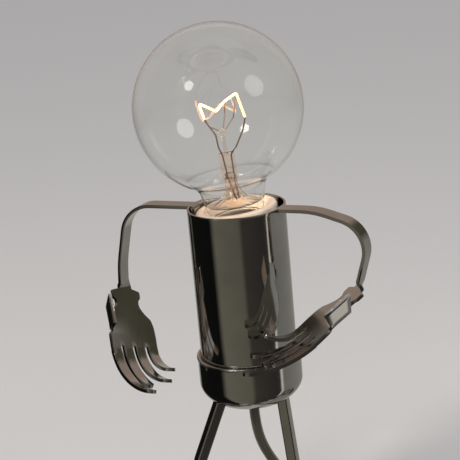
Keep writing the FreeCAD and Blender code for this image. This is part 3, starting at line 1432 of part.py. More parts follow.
export("cord_to_switch", make_cord(cord_to_switch, "cord to switch"))
export("cord_to_coil", make_cord(cord_to_coil, "cord to coil"))
export("cord_coil", make_cord_coil())
export("cord_to_plug", make_cord(cord_to_plug, "cord to plug"))
export("switch_base", make_switch_base())
export("switch_cover", make_switch_cover())
export("switch_rocker", make_switch_rocker())
export("switch_screws", make_switch_screws())
export("plug_body", make_plug_body())
export("plug_pins", make_plug_pins())
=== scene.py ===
from math import atan2, cos, hypot, pi, radians, sin, sqrt, tan

import bmesh
import bpy
from mathutils import Matrix, Vector


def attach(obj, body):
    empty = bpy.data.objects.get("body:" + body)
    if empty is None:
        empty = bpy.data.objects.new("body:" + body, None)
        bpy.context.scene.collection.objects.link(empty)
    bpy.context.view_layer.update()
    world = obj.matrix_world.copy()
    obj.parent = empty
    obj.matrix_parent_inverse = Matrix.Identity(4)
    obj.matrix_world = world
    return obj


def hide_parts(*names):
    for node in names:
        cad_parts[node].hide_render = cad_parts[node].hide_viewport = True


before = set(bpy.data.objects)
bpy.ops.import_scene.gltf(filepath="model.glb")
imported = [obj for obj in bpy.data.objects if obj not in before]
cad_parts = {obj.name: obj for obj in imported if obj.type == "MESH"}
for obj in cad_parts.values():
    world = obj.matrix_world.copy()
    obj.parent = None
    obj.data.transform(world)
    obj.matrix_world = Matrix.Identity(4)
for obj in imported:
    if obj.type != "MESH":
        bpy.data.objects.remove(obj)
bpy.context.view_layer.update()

# Camera. It stands before the lamp and a little above its head, looks sixteen degrees down and is
# tilted by five. Places on the lamp are taken from its axis on the floor, or from the tube's rim.
body_axis = Vector((0.005, 0.01133, 0.0))
rim_height = 0.2303
rim_centre = body_axis + Vector((0.0, 0.0, rim_height))


def in_scene(name, data):
    """An object for a mesh, curve, lamp or camera, in the scene at the origin."""
    made = bpy.data.objects.new(name, data)
    bpy.context.scene.collection.objects.link(made)
    return made


camera_data = bpy.data.cameras.new("camera")
camera_data.sensor_width = 36.0
camera_data.lens = 101.74
camera_data.clip_start = 0.02
camera_right = Vector((0.99606509, -0.01818653, -0.08673861))
camera_up = Vector((0.08839479, 0.27432073, 0.95756697))
camera_back = Vector((0.00637938, -0.96146627, 0.2748489))
camera_turn = Matrix((camera_right, camera_up, camera_back)).transposed().to_4x4()
camera_stand = rim_centre + Vector((0.0, -0.7076, 0.18816))
camera = in_scene("camera", camera_data)
camera.matrix_world = Matrix.Translation(camera_stand) @ camera_turn
bpy.context.scene.camera = camera

# Cord. A flat twin lead in a clear olive sleeve hangs out of the base, runs through the inline
# switch and lies in a two-layer coil, 1.8 m in all. Its two cores leave a groove along each side.
cord_places = [
    (0.0, 0.0, 0.1094),
    (0.0, 0.0, 0.0944),
    (0.0046, 0.0015, 0.0775),
    (0.0145, 0.0055, 0.0595),
    (0.027, 0.0125, 0.043),
    (0.0405, 0.022, 0.0285),
    (0.053, 0.033, 0.0165),
    (0.066, 0.0425, 0.0075),
    (0.0805, 0.05, 0.0032),
    (0.096, 0.05, 0.0032),
    (0.16, 0.05, 0.0032),
    (0.174, 0.05, 0.0032),
    (0.188, 0.044, 0.0032),
    (0.197, 0.03, 0.0032),
    (0.1995, 0.011, 0.0032),
    (0.1966, -0.0082, 0.0032),
]
coil_centre = Vector((0.154, -0.013, 0.0))
coil_outer_turn = 0.0428
coil_turn_pitch = 0.0062
coil_turns_wide = 4
coil_low_layer = 0.0033
coil_points_per_turn = 14
coil_jog_points = 4
coil_end_steps = 3
coil_lead_in = cord_places[-1]
coil_start = atan2(coil_lead_in[1] - coil_centre.y, coil_lead_in[0] - coil_centre.x)
coil_step = 2 * pi / coil_points_per_turn


def coil_place(turn, step, radius, height):
    """A place on the coil, some steps into a turn, which runs clockwise from above."""
    angle = coil_start - 2 * pi * turn - coil_step * step
    x = coil_centre.x + radius * cos(angle)
    y = coil_centre.y + radius * sin(angle)
    return (x, y, height)


for layer in range(2):
    for turn in range(coil_turns_wide):
        last_of_cord = layer == 1 and turn == coil_turns_wide - 1
        steps = coil_end_steps if last_of_cord else coil_points_per_turn
        for step in range(1, steps + 1):
            jog = max(0, step - coil_points_per_turn + coil_jog_points) / coil_jog_points
            track = turn if layer == 0 else coil_turns_wide - 1 - turn
            climb = 0.0
            if layer == 0 and turn == coil_turns_wide - 1:
                climb = jog
            elif layer == 0:
                track += jog
            else:
                track -= jog
            radius = coil_outer_turn - coil_turn_pitch * track
            height = coil_low_layer + coil_turn_pitch * (layer + climb)
            cord_places.append(coil_place(turn, step, radius, height))
cord_places += [
    (0.154, -0.0558, 0.0095),
    (0.14, -0.0558, 0.0083),
    (0.12, -0.0558, 0.007),
]
route_data = bpy.data.curves.new("cord_route", "CURVE")
route_data.dimensions = "3D"
route_data.resolution_u = 8
route = route_data.splines.new("NURBS")
route.points.add(len(cord_places) - 1)
for point, place in zip(route.points, cord_places):
    point.co = (*(body_axis + Vector(place)), 1.0)
route.order_u = 3
route.use_endpoint_u = True
route_object = in_scene("cord_route", route_data)
route_mesh = bpy.data.meshes.new_from_object(route_object)
cord_line = [vertex.co.copy() for vertex in route_mesh.vertices]
bpy.data.objects.remove(route_object)

core_radius = 0.0019
core_half_spacing = 0.0011
cord_sides = 20


def skin(shape, low, high, closed=True):
    """Smooth faces between two rows of vertices, joined at the ends where the rows are closed."""
    faces = []
    for k in range(len(low) if closed else len(low) - 1):
        after_k = (k + 1) % len(low)
        faces.append(shape.faces.new((low[k], low[after_k], high[after_k], high[k])))
        faces[-1].smooth = True
    return faces


def piece_from(shape, name):
    """A finished shape as a mesh object of that name."""
    mesh = bpy.data.meshes.new(name)
    shape.to_mesh(mesh)
    return in_scene(name, mesh)


cord_bm = bmesh.new()
cord_uv = cord_bm.loops.layers.uv.new("cord_sleeve")
cord_rings = []
cord_lengths = [0.0]
for i, here in enumerate(cord_line):
    before = cord_line[max(i - 1, 0)]
    after = cord_line[min(i + 1, len(cord_line) - 1)]
    if i:
        cord_lengths.append(cord_lengths[-1] + (here - before).length)
    along = (after - before).normalized()
    upright = abs(along.z)
    wide = Vector((upright, 0.0, 1.0 - upright))
    wide = (wide - along * wide.dot(along)).normalized()
    thin = along.cross(wide)
    ring = []
    for k in range(cord_sides):
        angle = 2 * pi * k / cord_sides
        reach = core_half_spacing * abs(cos(angle))
        reach += sqrt(core_radius ** 2 - (core_half_spacing * sin(angle)) ** 2)
        to_side, to_top = reach * cos(angle), reach * sin(angle)
        ring.append(cord_bm.verts.new(here + wide * to_side + thin * to_top))
    cord_rings.append(ring)
for i in range(len(cord_rings) - 1):
    near, far = cord_lengths[i], cord_lengths[i + 1]
    for k, face in enumerate(skin(cord_bm, cord_rings[i], cord_rings[i + 1])):
        left, right = k / cord_sides, (k + 1) / cord_sides
        for loop, uv in zip(face.loops, ((left, near), (right, near), (right, far), (left, far))):
            loop[cord_uv].uv = uv
cord_bm.faces.new(cord_rings[0])
cord_bm.faces.new(cord_rings[-1])
bmesh.ops.recalc_face_normals(cord_bm, faces=cord_bm.faces)
cord = piece_from(cord_bm, "cord")


def new_finish(name):
    """A material, with its node tree and the node of its surface."""
    finish = bpy.data.materials.new(name)
    finish.use_nodes = True
    return finish, finish.node_tree, finish.node_tree.nodes["Principled BSDF"]


def fill(node, values):
    """A node's inputs: another node's output is linked, and anything else is set."""
    for key, value in values.items():
        if isinstance(value, bpy.types.NodeSocket):
            node.id_data.links.new(value, node.inputs[key])
        else:
            node.inputs[key].default_value = value


def add(tree, kind, values=None, **settings):
    """A new node in a tree, with its settings first and then its inputs."""
    node = tree.nodes.new(kind)
    for setting, value in settings.items():
        setattr(node, setting, value)
    fill(node, values or {})
    return node


def tint(tree, share, *stops):
    """A colour that follows share, through stops of (position, red, green, blue)."""
    node = add(tree, "ShaderNodeValToRGB", {"Fac": share})
    elements = node.color_ramp.elements
    while len(elements) < len(stops):
        elements.new(0.5)
    for element, (position, *colour) in zip(elements, stops):
        element.position = position
        element.color = (*colour, 1)
    return node.outputs["Color"]


cord_sleeve, sleeve_tree, sleeve = new_finish("cord_sleeve")
sleeve_uv = add(sleeve_tree, "ShaderNodeUVMap", uv_map="cord_sleeve").outputs["UV"]
split = add(sleeve_tree, "ShaderNodeSeparateXYZ", {"Vector": sleeve_uv})
# The sleeve is lighter on the outer round of each half and darker over its flat faces and groove.
twice_round = add(sleeve_tree, "ShaderNodeMath", {
    0: split.outputs["X"],
    1: 4 * pi,
}, operation="MULTIPLY")
section_wave = add(sleeve_tree, "ShaderNodeMath", {0: twice_round.outputs[0]}, operation="COSINE")
section_tint = tint(sleeve_tree, section_wave.outputs[0], (0.0, 0.085, 0.08, 0.055), (0.8, 0.26, 0.25, 0.19))
# Fine strands, wound round each core, seen through the sleeve.
strand_place = add(sleeve_tree, "ShaderNodeMapping", {
    "Vector": sleeve_uv,
    "Scale": (6.0, 260.0, 1.0),
    "Rotation": (0.0, 0.0, 0.5),
})
strand_wave = add(sleeve_tree, "ShaderNodeTexWave", {
    "Vector": strand_place.outputs["Vector"],
    "Scale": 1.0,
    "Distortion": 0.6,
})
strand_mix = add(sleeve_tree, "ShaderNodeMix", {
    "Factor": 0.35,
    "A": section_tint,
    "B": strand_wave.outputs["Color"],
}, data_type="RGBA", blend_type="MULTIPLY")
fill(sleeve, {
    "Base Color": strand_mix.outputs["Result"],
    "Roughness": 0.28,
    "Coat Weight": 0.35,
    "Coat Roughness": 0.12,
})
cord.data.materials.append(cord_sleeve)
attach(cord, "lamp")
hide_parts("cord_to_switch", "cord_to_coil", "cord_coil", "cord_to_plug")

# Tie round the coil: a thin black strap of woven fabric, passed through the coil's middle and
# closed on itself, that holds the turns together on the lamp's far side.
tie_thickness = 0.00022
tie_half_width = 0.0045
tie_angle = radians(35.0)
tie_corner = 0.0028
tie_corner_steps = 6
tie_inner, tie_outer = 0.0209, 0.0461
tie_low, tie_high = 0.00006, 0.0129
tie_section = []
for corner_r, corner_z, first in (
    (tie_outer, tie_high, 0.0),
    (tie_inner, tie_high, 0.5),
    (tie_inner, tie_low, 1.0),
    (tie_outer, tie_low, 1.5),
):
    side_r = -1 if corner_r == tie_outer else 1
    side_z = -1 if corner_z == tie_high else 1
    for k in range(tie_corner_steps + 1):
        angle = pi * (first + k / (2 * tie_corner_steps))
        r = corner_r + side_r * tie_corner + tie_corner * cos(angle)
        z = corner_z + side_z * tie_corner + tie_corner * sin(angle)
        tie_section.append((r, z))
out = Vector((cos(tie_angle), sin(tie_angle), 0.0))
across = Vector((-sin(tie_angle), cos(tie_angle), 0.0))
tie_bm = bmesh.new()
tie_edges = []
for side in (-1, 1):
    edge = []
    for r, z in tie_section:
        sideways = across * (side * tie_half_width)
        edge.append(tie_bm.verts.new(body_axis + coil_centre + out * r + sideways + Vector((0, 0, z))))
    tie_edges.append(edge)
skin(tie_bm, *tie_edges)
bmesh.ops.recalc_face_normals(tie_bm, faces=tie_bm.faces)
coil_tie = piece_from(tie_bm, "coil_tie")
tie_wall = coil_tie.modifiers.new("strap", "SOLIDIFY")
tie_wall.thickness = tie_thickness
tie_wall.offset = -1.0


def dented(tree, height, strength, distance):
    """A surface direction from a bump of that height."""
    values = {"Height": height, "Strength": strength, "Distance": distance}
    return add(tree, "ShaderNodeBump", values).outputs["Normal"]


tie_weave, weave_tree, weave = new_finish("tie_weave")
weave_coords = add(weave_tree, "ShaderNodeTexCoord").outputs["Object"]
weave_wave = add(weave_tree, "ShaderNodeTexWave", {"Vector": weave_coords, "Scale": 700.0})
weave_bands = weave_wave.outputs["Fac"]
fill(weave, {
    "Base Color": tint(weave_tree, weave_bands, (0.0, 0.012, 0.012, 0.013), (1.0, 0.04, 0.04, 0.042)),
    "Roughness": 0.85,
    "Normal": dented(weave_tree, weave_bands, 0.4, 0.0002),
})
coil_tie.data.materials.append(tie_weave)
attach(coil_tie, "lamp")

# Inline switch and plug. Two moulded black halves, screwed together from below, hold a glossy
# rocker; the plug is moulded on the cord's end, with a ribbed strain relief and two round pins.


def grain(tree, scale, detail=2.0, stretch=None, roughness=0.5):
    """Noise on the piece's own coordinates, for what is uneven in a finish."""
    place = add(tree, "ShaderNodeTexCoord").outputs["Object"]
    if stretch:
        place = add(tree, "ShaderNodeMapping", {"Vector": place, "Scale": stretch}).outputs["Vector"]
    values = {"Vector": place, "Scale": scale, "Detail": detail, "Roughness": roughness}
    return add(tree, "ShaderNodeTexNoise", values).outputs["Fac"]


def spread(tree, share, low, high, low_at=0.0, high_at=1.0):
    """A value that goes from low to high while share goes from low_at to high_at."""
    values = {"Value": share, "From Min": low_at, "From Max": high_at, "To Min": low, "To Max": high}
    return add(tree, "ShaderNodeMapRange", values).outputs["Result"]


def give_finish(finish, *names):
    """A finish for CAD pieces that are shown as they are."""
    for name in names:
        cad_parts[name].data.materials.clear()
        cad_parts[name].data.materials.append(finish)


moulded_black, mould_tree, moulding = new_finish("moulded_black")
mould_cloud = grain(mould_tree, 60.0)
fill(moulding, {
    "Base Color": tint(mould_tree, mould_cloud, (0.35, 0.014, 0.014, 0.015), (0.7, 0.028, 0.028, 0.027)),
    "Roughness": 0.42,
    "Normal": dented(mould_tree, grain(mould_tree, 2600.0, 4.0), 0.25, 0.0002),
})
rocker_black = moulded_black.copy()
rocker_black.name = "rocker_black"
rocker_black.node_tree.nodes["Principled BSDF"].inputs["Roughness"].default_value = 0.14
rocker_black.node_tree.nodes["Bump"].inputs["Strength"].default_value = 0.04
pin_plate, plate_tree, plating = new_finish("pin_plate")
plate_wear = grain(plate_tree, 1.0, stretch=(40.0, 900.0, 900.0))
fill(plating, {
    "Metallic": 1.0,
    "Base Color": (0.68, 0.64, 0.54, 1),
    "Roughness": spread(plate_tree, plate_wear, 0.16, 0.38),
})
give_finish(moulded_black, "switch_base", "switch_cover", "plug_body", "cord_bush")
give_finish(rocker_black, "switch_rocker")
give_finish(pin_plate, "plug_pins")

# Rings of the strain relief: a row of raised rings, moulded with the plug in the same plastic,
# that grow smaller away from it and keep the cord from a sharp bend.
relief_start = body_axis + Vector((0.1005, -0.0558, 0.007))
relief_end = body_axis + Vector((0.1175, -0.0558, 0.007))


def new_tree(name, inputs):
    """A geometry tree with its named inputs, its inputs' sockets and its last node."""
    tree = bpy.data.node_groups.new(name, "GeometryNodeTree")
    for label, kind in (("Geometry", "Geometry"), *inputs.items()):
        tree.interface.new_socket(label, in_out="INPUT", socket_type="NodeSocket" + kind)
    tree.interface.new_socket("Geometry", in_out="OUTPUT", socket_type="NodeSocketGeometry")
    return tree, tree.nodes.new("NodeGroupInput").outputs, tree.nodes.new("NodeGroupOutput")


def end_tree(tree, shape, finish, last):
    """The end of a tree: real geometry, shaded smooth, in its finish."""
    real = add(tree, "GeometryNodeRealizeInstances", {"Geometry": shape})
    smooth = add(tree, "GeometryNodeSetShadeSmooth", {"Geometry": real.outputs["Geometry"]})
    values = {"Geometry": smooth.outputs["Geometry"], "Material": finish}
    finished = add(tree, "GeometryNodeSetMaterial", values)
    fill(last, {"Geometry": finished.outputs["Geometry"]})


ring_tree, ring_in, ring_end = new_tree("relief_rings", {
    "Ring count": "Int",
    "First radius": "Float",
    "Last radius": "Float",
    "Ring thickness": "Float",
    "Finish": "Material",
})
ring_line = add(ring_tree, "GeometryNodeMeshLine", {
    "Count": ring_in["Ring count"],
    "Start Location": relief_start,
    "Offset": relief_end,
}, mode="END_POINTS")
ring_index = add(ring_tree, "GeometryNodeInputIndex")
last_index = add(ring_tree, "ShaderNodeMath", {0: ring_in["Ring count"], 1: 1.0}, operation="SUBTRACT")
ring_radius = add(ring_tree, "ShaderNodeMapRange", {
    "Value": ring_index.outputs["Index"],
    "From Min": 0.0,
    "From Max": last_index.outputs[0],
    "To Min": ring_in["First radius"],
    "To Max": ring_in["Last radius"],
})
wire_share = add(ring_tree, "ShaderNodeMath", {
    0: ring_in["Ring thickness"],
    1: ring_in["First radius"],
}, operation="DIVIDE")
circle = "GeometryNodeCurvePrimitiveCircle"
ring_circle = add(ring_tree, circle, {"Resolution": 40, "Radius": 1.0})
ring_wire = add(ring_tree, circle, {"Resolution": 10, "Radius": wire_share.outputs[0]})
ring_tube = add(ring_tree, "GeometryNodeCurveToMesh", {
    "Curve": ring_circle.outputs["Curve"],
    "Profile Curve": ring_wire.outputs["Curve"],
})
ring_each = add(ring_tree, "GeometryNodeInstanceOnPoints", {
    "Points": ring_line.outputs["Mesh"],
    "Instance": ring_tube.outputs["Mesh"],
    "Rotation": (0.0, pi / 2, 0.0),
    "Scale": ring_radius.outputs["Result"],
})
end_tree(ring_tree, ring_each.outputs["Instances"], ring_in["Finish"], ring_end)


def from_tree(name, mesh, tree, values):
    """A plain mesh object from a node tree on a mesh, with the tree's named inputs set."""
    source = in_scene(name + "_source", mesh)
    maker = source.modifiers.new(name, "NODES")
    maker.node_group = tree
    for item in tree.interface.items_tree:
        if item.in_out == "INPUT" and item.name in values:
            maker[item.identifier] = values[item.name]
    source.update_tag()
    depsgraph = bpy.context.evaluated_depsgraph_get()
    made = bpy.data.meshes.new_from_object(source.evaluated_get(depsgraph))
    bpy.data.objects.remove(source)
    return in_scene(name, made)


relief_rings = from_tree("relief_rings", bpy.data.meshes.new("relief_rings_source"), ring_tree, {
    "Ring count": 7,
    "First radius": 0.0049,
    "Last radius": 0.0041,
    "Ring thickness": 0.0005,
    "Finish": moulded_black,
})
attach(relief_rings, "lamp")
on_the_cord = [coil_tie, relief_rings]
on_the_cord += ["switch_base", "switch_cover", "switch_rocker", "switch_screws"]
on_the_cord += ["plug_body", "plug_pins"]

# Body tube: polished stainless steel, drawn thin and open at both ends. Its lower end stands in
# the base cup, and its rim has a square notch for each arm.
tube_middle_radius = 0.0274
tube_wall = 0.0012
tube_bottom = 0.125
tube_top = rim_height
tube_sides = 192
tube_levels = (tube_bottom, 0.16, 0.195)
notch_depth = 0.0022
notch_half = 0.00495
notch_steps = 8
arm_turns = (radians(155.0), radians(-27.0))


def polished_steel(name, stretch, rough_low, rough_high):
    """Polished stainless steel, whose fine polishing marks are drawn out along one axis."""
    steel, tree, metal = new_finish(name)
    marks = grain(tree, 1.0, 5.0, stretch, 0.65)
    smears = grain(tree, 38.0, 3.0)
    both = add(tree, "ShaderNodeMath", {0: marks, 1: smears}, operation="MULTIPLY")
    fill(metal, {
        "Metallic": 1.0,
        "Base Color": tint(tree, smears, (0.3, 0.5, 0.485, 0.455), (0.7, 0.62, 0.6, 0.565)),
        "Roughness": spread(tree, both.outputs[0], rough_low, rough_high, 0.12, 0.42),
        "Normal": dented(tree, marks, 0.06, 0.0001),
    })
    return steel


tube_steel = polished_steel("tube_steel", (2600.0, 2600.0, 60.0), 0.035, 0.11)
tube_angles = [2 * pi * k / tube_sides for k in range(tube_sides)]
notch_reach = notch_half / tube_middle_radius
for turn in arm_turns:
    start = (turn - notch_reach) % (2 * pi)
    tube_angles = [a for a in tube_angles if not (a - start) % (2 * pi) < 2 * notch_reach]
    for k in range(notch_steps + 1):
        tube_angles.append((start + 2 * notch_reach * k / notch_steps) % (2 * pi))
tube_angles.sort()
tube_bm = bmesh.new()
tube_rows = []
for height in (*tube_levels, tube_top - notch_depth, tube_top):
    row = []
    for angle in tube_angles:
        side = Vector((cos(angle), sin(angle), 0.0)) * tube_middle_radius
        row.append(tube_bm.verts.new(body_axis + side + Vector((0.0, 0.0, height))))
    tube_rows.append(row)
for level in range(len(tube_rows) - 1):
    for k, angle in enumerate(tube_angles):
        after_k = (k + 1) % len(tube_angles)
        middle = angle + ((tube_angles[after_k] - angle) % (2 * pi)) / 2
        in_notch = any(abs((middle - turn + pi) % (2 * pi) - pi) < notch_reach for turn in arm_turns)
        if level == len(tube_rows) - 2 and in_notch:
            continue
        low, high = tube_rows[level], tube_rows[level + 1]
        face = tube_bm.faces.new((low[k], low[after_k], high[after_k], high[k]))
        face.smooth = True
bmesh.ops.delete(tube_bm, geom=[v for v in tube_bm.verts if not v.link_faces], context="VERTS")
body_tube = piece_from(tube_bm, "body_tube_shell")
tube_solid = body_tube.modifiers.new("wall", "SOLIDIFY")
tube_solid.thickness = tube_wall
tube_solid.offset = 0.0
tube_edges = body_tube.modifiers.new("broken_edges", "BEVEL")
tube_edges.width = 0.00018
tube_edges.segments = 2
tube_edges.limit_method = "ANGLE"
tube_edges.angle_limit = radians(50.0)
body_tube.data.materials.append(tube_steel)
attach(body_tube, "lamp")
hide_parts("body_tube")

# Base cup: a deep-drawn cup of the same steel that the tube stands in. Its corner is a quarter
# ellipse, a rolled bead stiffens its lip, and the threaded rod goes through its floor.
cup_outer = 0.0301
cup_wall = 0.0018
cup_low = 0.112
cup_corner_wide = 0.0221
cup_corner_high = 0.0145
cup_top = 0.1419
cup_bead = 0.001
cup_hole = 0.0053
cup_corner_steps = 28
cup_bead_steps = 18


def lathe(name, outline, place, sides=160, sharp=35.0):
    """A turned piece: outline is a closed loop of (radius, height), and place puts its axis."""
    turned = bmesh.new()
    rings = []
    for radius, height in outline:
        if radius < 1e-7:
            rings.append([turned.verts.new((0.0, 0.0, height))])
            continue
        ring = []
        for k in range(sides):
            angle = 2 * pi * k / sides
            ring.append(turned.verts.new((radius * cos(angle), radius * sin(angle), height)))
        rings.append(ring)
    for i, low in enumerate(rings):
        high = rings[(i + 1) % len(rings)]
        if len(low) == len(high) == sides:
            skin(turned, low, high)
        elif len(low) != len(high):
            for k in range(sides):
                after_k = (k + 1) % sides
                if len(low) == 1:
                    corners = (low[0], high[k], high[after_k])
                else:
                    corners = (low[k], low[after_k], high[0])
                turned.faces.new(corners).smooth = True
    bmesh.ops.recalc_face_normals(turned, faces=turned.faces)
    turned.transform(place)
    piece = piece_from(turned, name)
    piece.data.set_sharp_from_angle(angle=radians(sharp))
    return piece


def arc(centre_r, centre_z, radius_r, radius_z, start, end, count):
    """Points on an arc or part of an ellipse, from start to end in degrees."""
    points = []
    for k in range(count + 1):
        angle = radians(start + (end - start) * k / count)
        points.append((centre_r + radius_r * cos(angle), centre_z + radius_z * sin(angle)))
    return points


cup_flat = cup_outer - cup_corner_wide
corner_z = cup_low + cup_corner_high
cup_outline = [(cup_hole, cup_low)]
cup_outline += arc(cup_flat, corner_z, cup_corner_wide, cup_corner_high, -90, 0, cup_corner_steps)
cup_outline += arc(cup_outer - cup_bead / 2, cup_top, cup_bead, cup_bead, -60, 180, cup_bead_steps)
cup_outline.append((cup_outer - cup_wall, cup_top))
cup_inner_wide, cup_inner_high = cup_corner_wide - cup_wall, cup_corner_high - cup_wall
cup_outline += arc(cup_flat, corner_z, cup_inner_wide, cup_inner_high, 0, -90, cup_corner_steps)
cup_outline.append((cup_hole, cup_low + cup_wall))
base_cup = lathe("base_cup_shell", cup_outline, Matrix.Translation(body_axis))
cup_steel = polished_steel("cup_steel", (2400.0, 2400.0, 90.0), 0.04, 0.13)
base_cup.data.materials.append(cup_steel)
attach(base_cup, "lamp")
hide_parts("base_cup")

# Rod, nuts, washers, strap and small screws inside the body and under the soles: turned, pressed
# and rolled steel parts with a bright zinc coat.
zinc, zinc_tree, zinc_metal = new_finish("bright_zinc")
zinc_grain = grain(zinc_tree, 420.0, 5.0)
fill(zinc_metal, {
    "Metallic": 1.0,
    "Base Color": tint(zinc_tree, zinc_grain, (0.0, 0.42, 0.43, 0.44), (1.0, 0.64, 0.63, 0.58)),
    "Roughness": spread(zinc_tree, zinc_grain, 0.22, 0.45),
})
give_finish(
    zinc, "tie_rod", "rod_nuts", "rod_washers", "holder_bracket", "holder_spacers", "holder_screws",
    "terminal_screws", "leg_screws", "leg_washers", "sole_screws", "switch_screws",
)

# Lampholder: glazed porcelain, turned and fired, whose collar fills the tube's mouth. The glaze
# is warm cream and gathers a little at the edges. It and the bulb lean five degrees to the left.
holder_sink = Vector((-0.0003, 0.0, -0.0003))
holder_lean = Matrix.Rotation(radians(-5.0), 4, "Y")
holder_place = Matrix.Translation(rim_centre + holder_sink) @ holder_lean
holder_foot = 0.0195
holder_side = 0.0217
holder_collar = 0.0234
holder_mouth = 0.0183
holder_bore = 0.0152
holder_bottom = -0.05
bore_bottom = -0.036
bore_top = -0.0112
mouth_bottom = -0.009
collar_bottom, collar_edge = -0.0142, -0.012
holder_round = 0.0022
mouth_round = 0.0011
holder_outline = [(0.0, holder_bottom), (holder_foot, holder_bottom)]
holder_outline += arc(holder_foot, holder_bottom + holder_round, holder_round, holder_round, -90, 0, 6)
holder_outline += [(holder_side, collar_bottom), (holder_collar, collar_edge)]
holder_outline += arc(holder_collar - holder_round, -holder_round, holder_round, holder_round, 0, 90, 10)
holder_outline += arc(holder_mouth + mouth_round, -mouth_round, mouth_round, mouth_round, 90, 180, 8)
holder_outline += [(holder_mouth, mouth_bottom), (holder_bore, bore_top)]
holder_outline += [(holder_bore, bore_bottom), (0.0, bore_bottom)]
holder = lathe("holder_glaze", holder_outline, holder_place)
cream_glaze, glaze_tree, glazed = new_finish("cream_glaze")
glaze_cloud = grain(glaze_tree, 90.0, 4.0)
fill(glazed, {
    "Base Color": tint(glaze_tree, glaze_cloud, (0.3, 0.74, 0.6, 0.46), (0.7, 0.86, 0.75, 0.62)),
    "Roughness": 0.3,
    "Coat Weight": 0.8,
    "Coat Roughness": 0.05,
    "Normal": dented(glaze_tree, glaze_cloud, 0.12, 0.0004),
})
holder.data.materials.append(cream_glaze)
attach(holder, "lamp")
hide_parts("holder_body")

# Screw shell, leaf contact and insulated cores in the holder, and the bulb's own cap: pressed
# sheet brass and aluminium, woven sleeving, and black glass round the cap's contact.
brass = zinc.copy()
brass.name = "shell_brass"
brass_tint = brass.node_tree.nodes["Color Ramp"].color_ramp
brass_tint.elements[0].color = (0.5, 0.36, 0.14, 1)
brass_tint.elements[1].color = (0.74, 0.57, 0.28, 1)
cap_metal = zinc.copy()
cap_metal.name = "cap_metal"
cap_tint = cap_metal.node_tree.nodes["Color Ramp"].color_ramp
cap_tint.elements[0].color = (0.6, 0.59, 0.56, 1)
cap_tint.elements[1].color = (0.75, 0.73, 0.68, 1)
black_glass = rocker_black.copy()
black_glass.name = "cap_black_glass"
core_sleeving, core_tree, core_surface = new_finish("core_sleeving")
core_weave = grain(core_tree, 1500.0)
fill(core_surface, {
    "Base Color": tint(core_tree, core_weave, (0.0, 0.3, 0.22, 0.13), (1.0, 0.52, 0.42, 0.28)),
    "Roughness": 0.7,
})
give_finish(brass, "screw_shell", "centre_contact")
give_finish(cap_metal, "bulb_cap", "cap_contact")
give_finish(black_glass, "cap_insulator")
give_finish(core_sleeving, "inner_cores")

# Arms and hands. Each is one piece of 2 mm steel sheet: a tab hooks inside the tube, the strip
# goes over the rim and bends down, twists at the wrist and opens into a cut-out hand, whose four
# fingers curl and whose thumb is folded up.
sheet_thickness = 0.002
strip_half = 0.00475
palm_half = 0.018
finger_width = 0.007
finger_gap = (2 * palm_half - 4 * finger_width) / 3
finger_columns = 6
gap_columns = 2
wrist_steps = 6
knuckle_distance = 0.036
finger_lengths = (0.025, 0.036, 0.033, 0.046)
finger_step = 0.0015
finger_tip_round = 0.0032
finger_tip_steps = 6
dish_fades_at = 0.004
thumb_root = (0.014, 0.027)
thumb_edge = (0.008, 0.026)
thumb_length = 0.012
thumb_columns = 9
thumb_line = 0.0155
thumb_fold = radians(62.0)
thumb_fold_radius = 0.0022
palm_dish = 0.0009
dish_start, dish_run = 0.0095, 0.014
rounding = 1e-6
hand_widths = [
    (0.0, 0.00475, 0.00475),
    (0.0006, 0.0072, 0.0072),
    (0.0015, 0.0107, 0.0107),
    (0.0035, 0.0109, 0.0109),
    (0.0055, 0.0107, 0.0107),
    (0.0075, 0.0089, 0.0089),
    (0.0095, 0.0086, 0.0086),
    (0.0115, 0.0091, 0.0097),
    (0.0128, 0.0099, 0.0118),
    (0.014, 0.0107, 0.0155),
    (0.0165, 0.0131, 0.0155),
    (0.019, 0.016, 0.0155),
    (0.0215, 0.0169, 0.0155),
    (0.024, 0.0175, 0.0155),
    (0.027, 0.0178, 0.0155),
    (0.0282, 0.0179, 0.0172),
    (0.0295, 0.018, 0.018),
    (0.0325, 0.018, 0.018),
    (0.036, 0.018, 0.018),
]


def bent_line(points, radii, step=radians(5.0)):
    """Points and directions along straight runs joined by arcs, as (out, up) pairs."""
    corners = [Vector(p) for p in points]
    line = [(corners[0], (corners[1] - corners[0]).normalized())]
    for i, radius in enumerate(radii):
        here = corners[i + 1]
        into = (here - corners[i]).normalized()
        away = (corners[i + 2] - here).normalized()
        turn = atan2(into.x * away.y - into.y * away.x, into.dot(away))
        reach = radius * tan(abs(turn) / 2)
        first = here - into * reach
        side = Vector((-into.y, into.x)) * (1 if turn > 0 else -1)
        centre = first + side * radius
        count = max(2, int(abs(turn) / step))
        for k in range(count + 1):
            angle = turn * k / count
            spoke = Matrix.Rotation(angle, 2) @ (first - centre)
            line.append((centre + spoke, Matrix.Rotation(angle, 2) @ into))
    line.append((corners[-1], (corners[-1] - corners[-2]).normalized()))
    return line


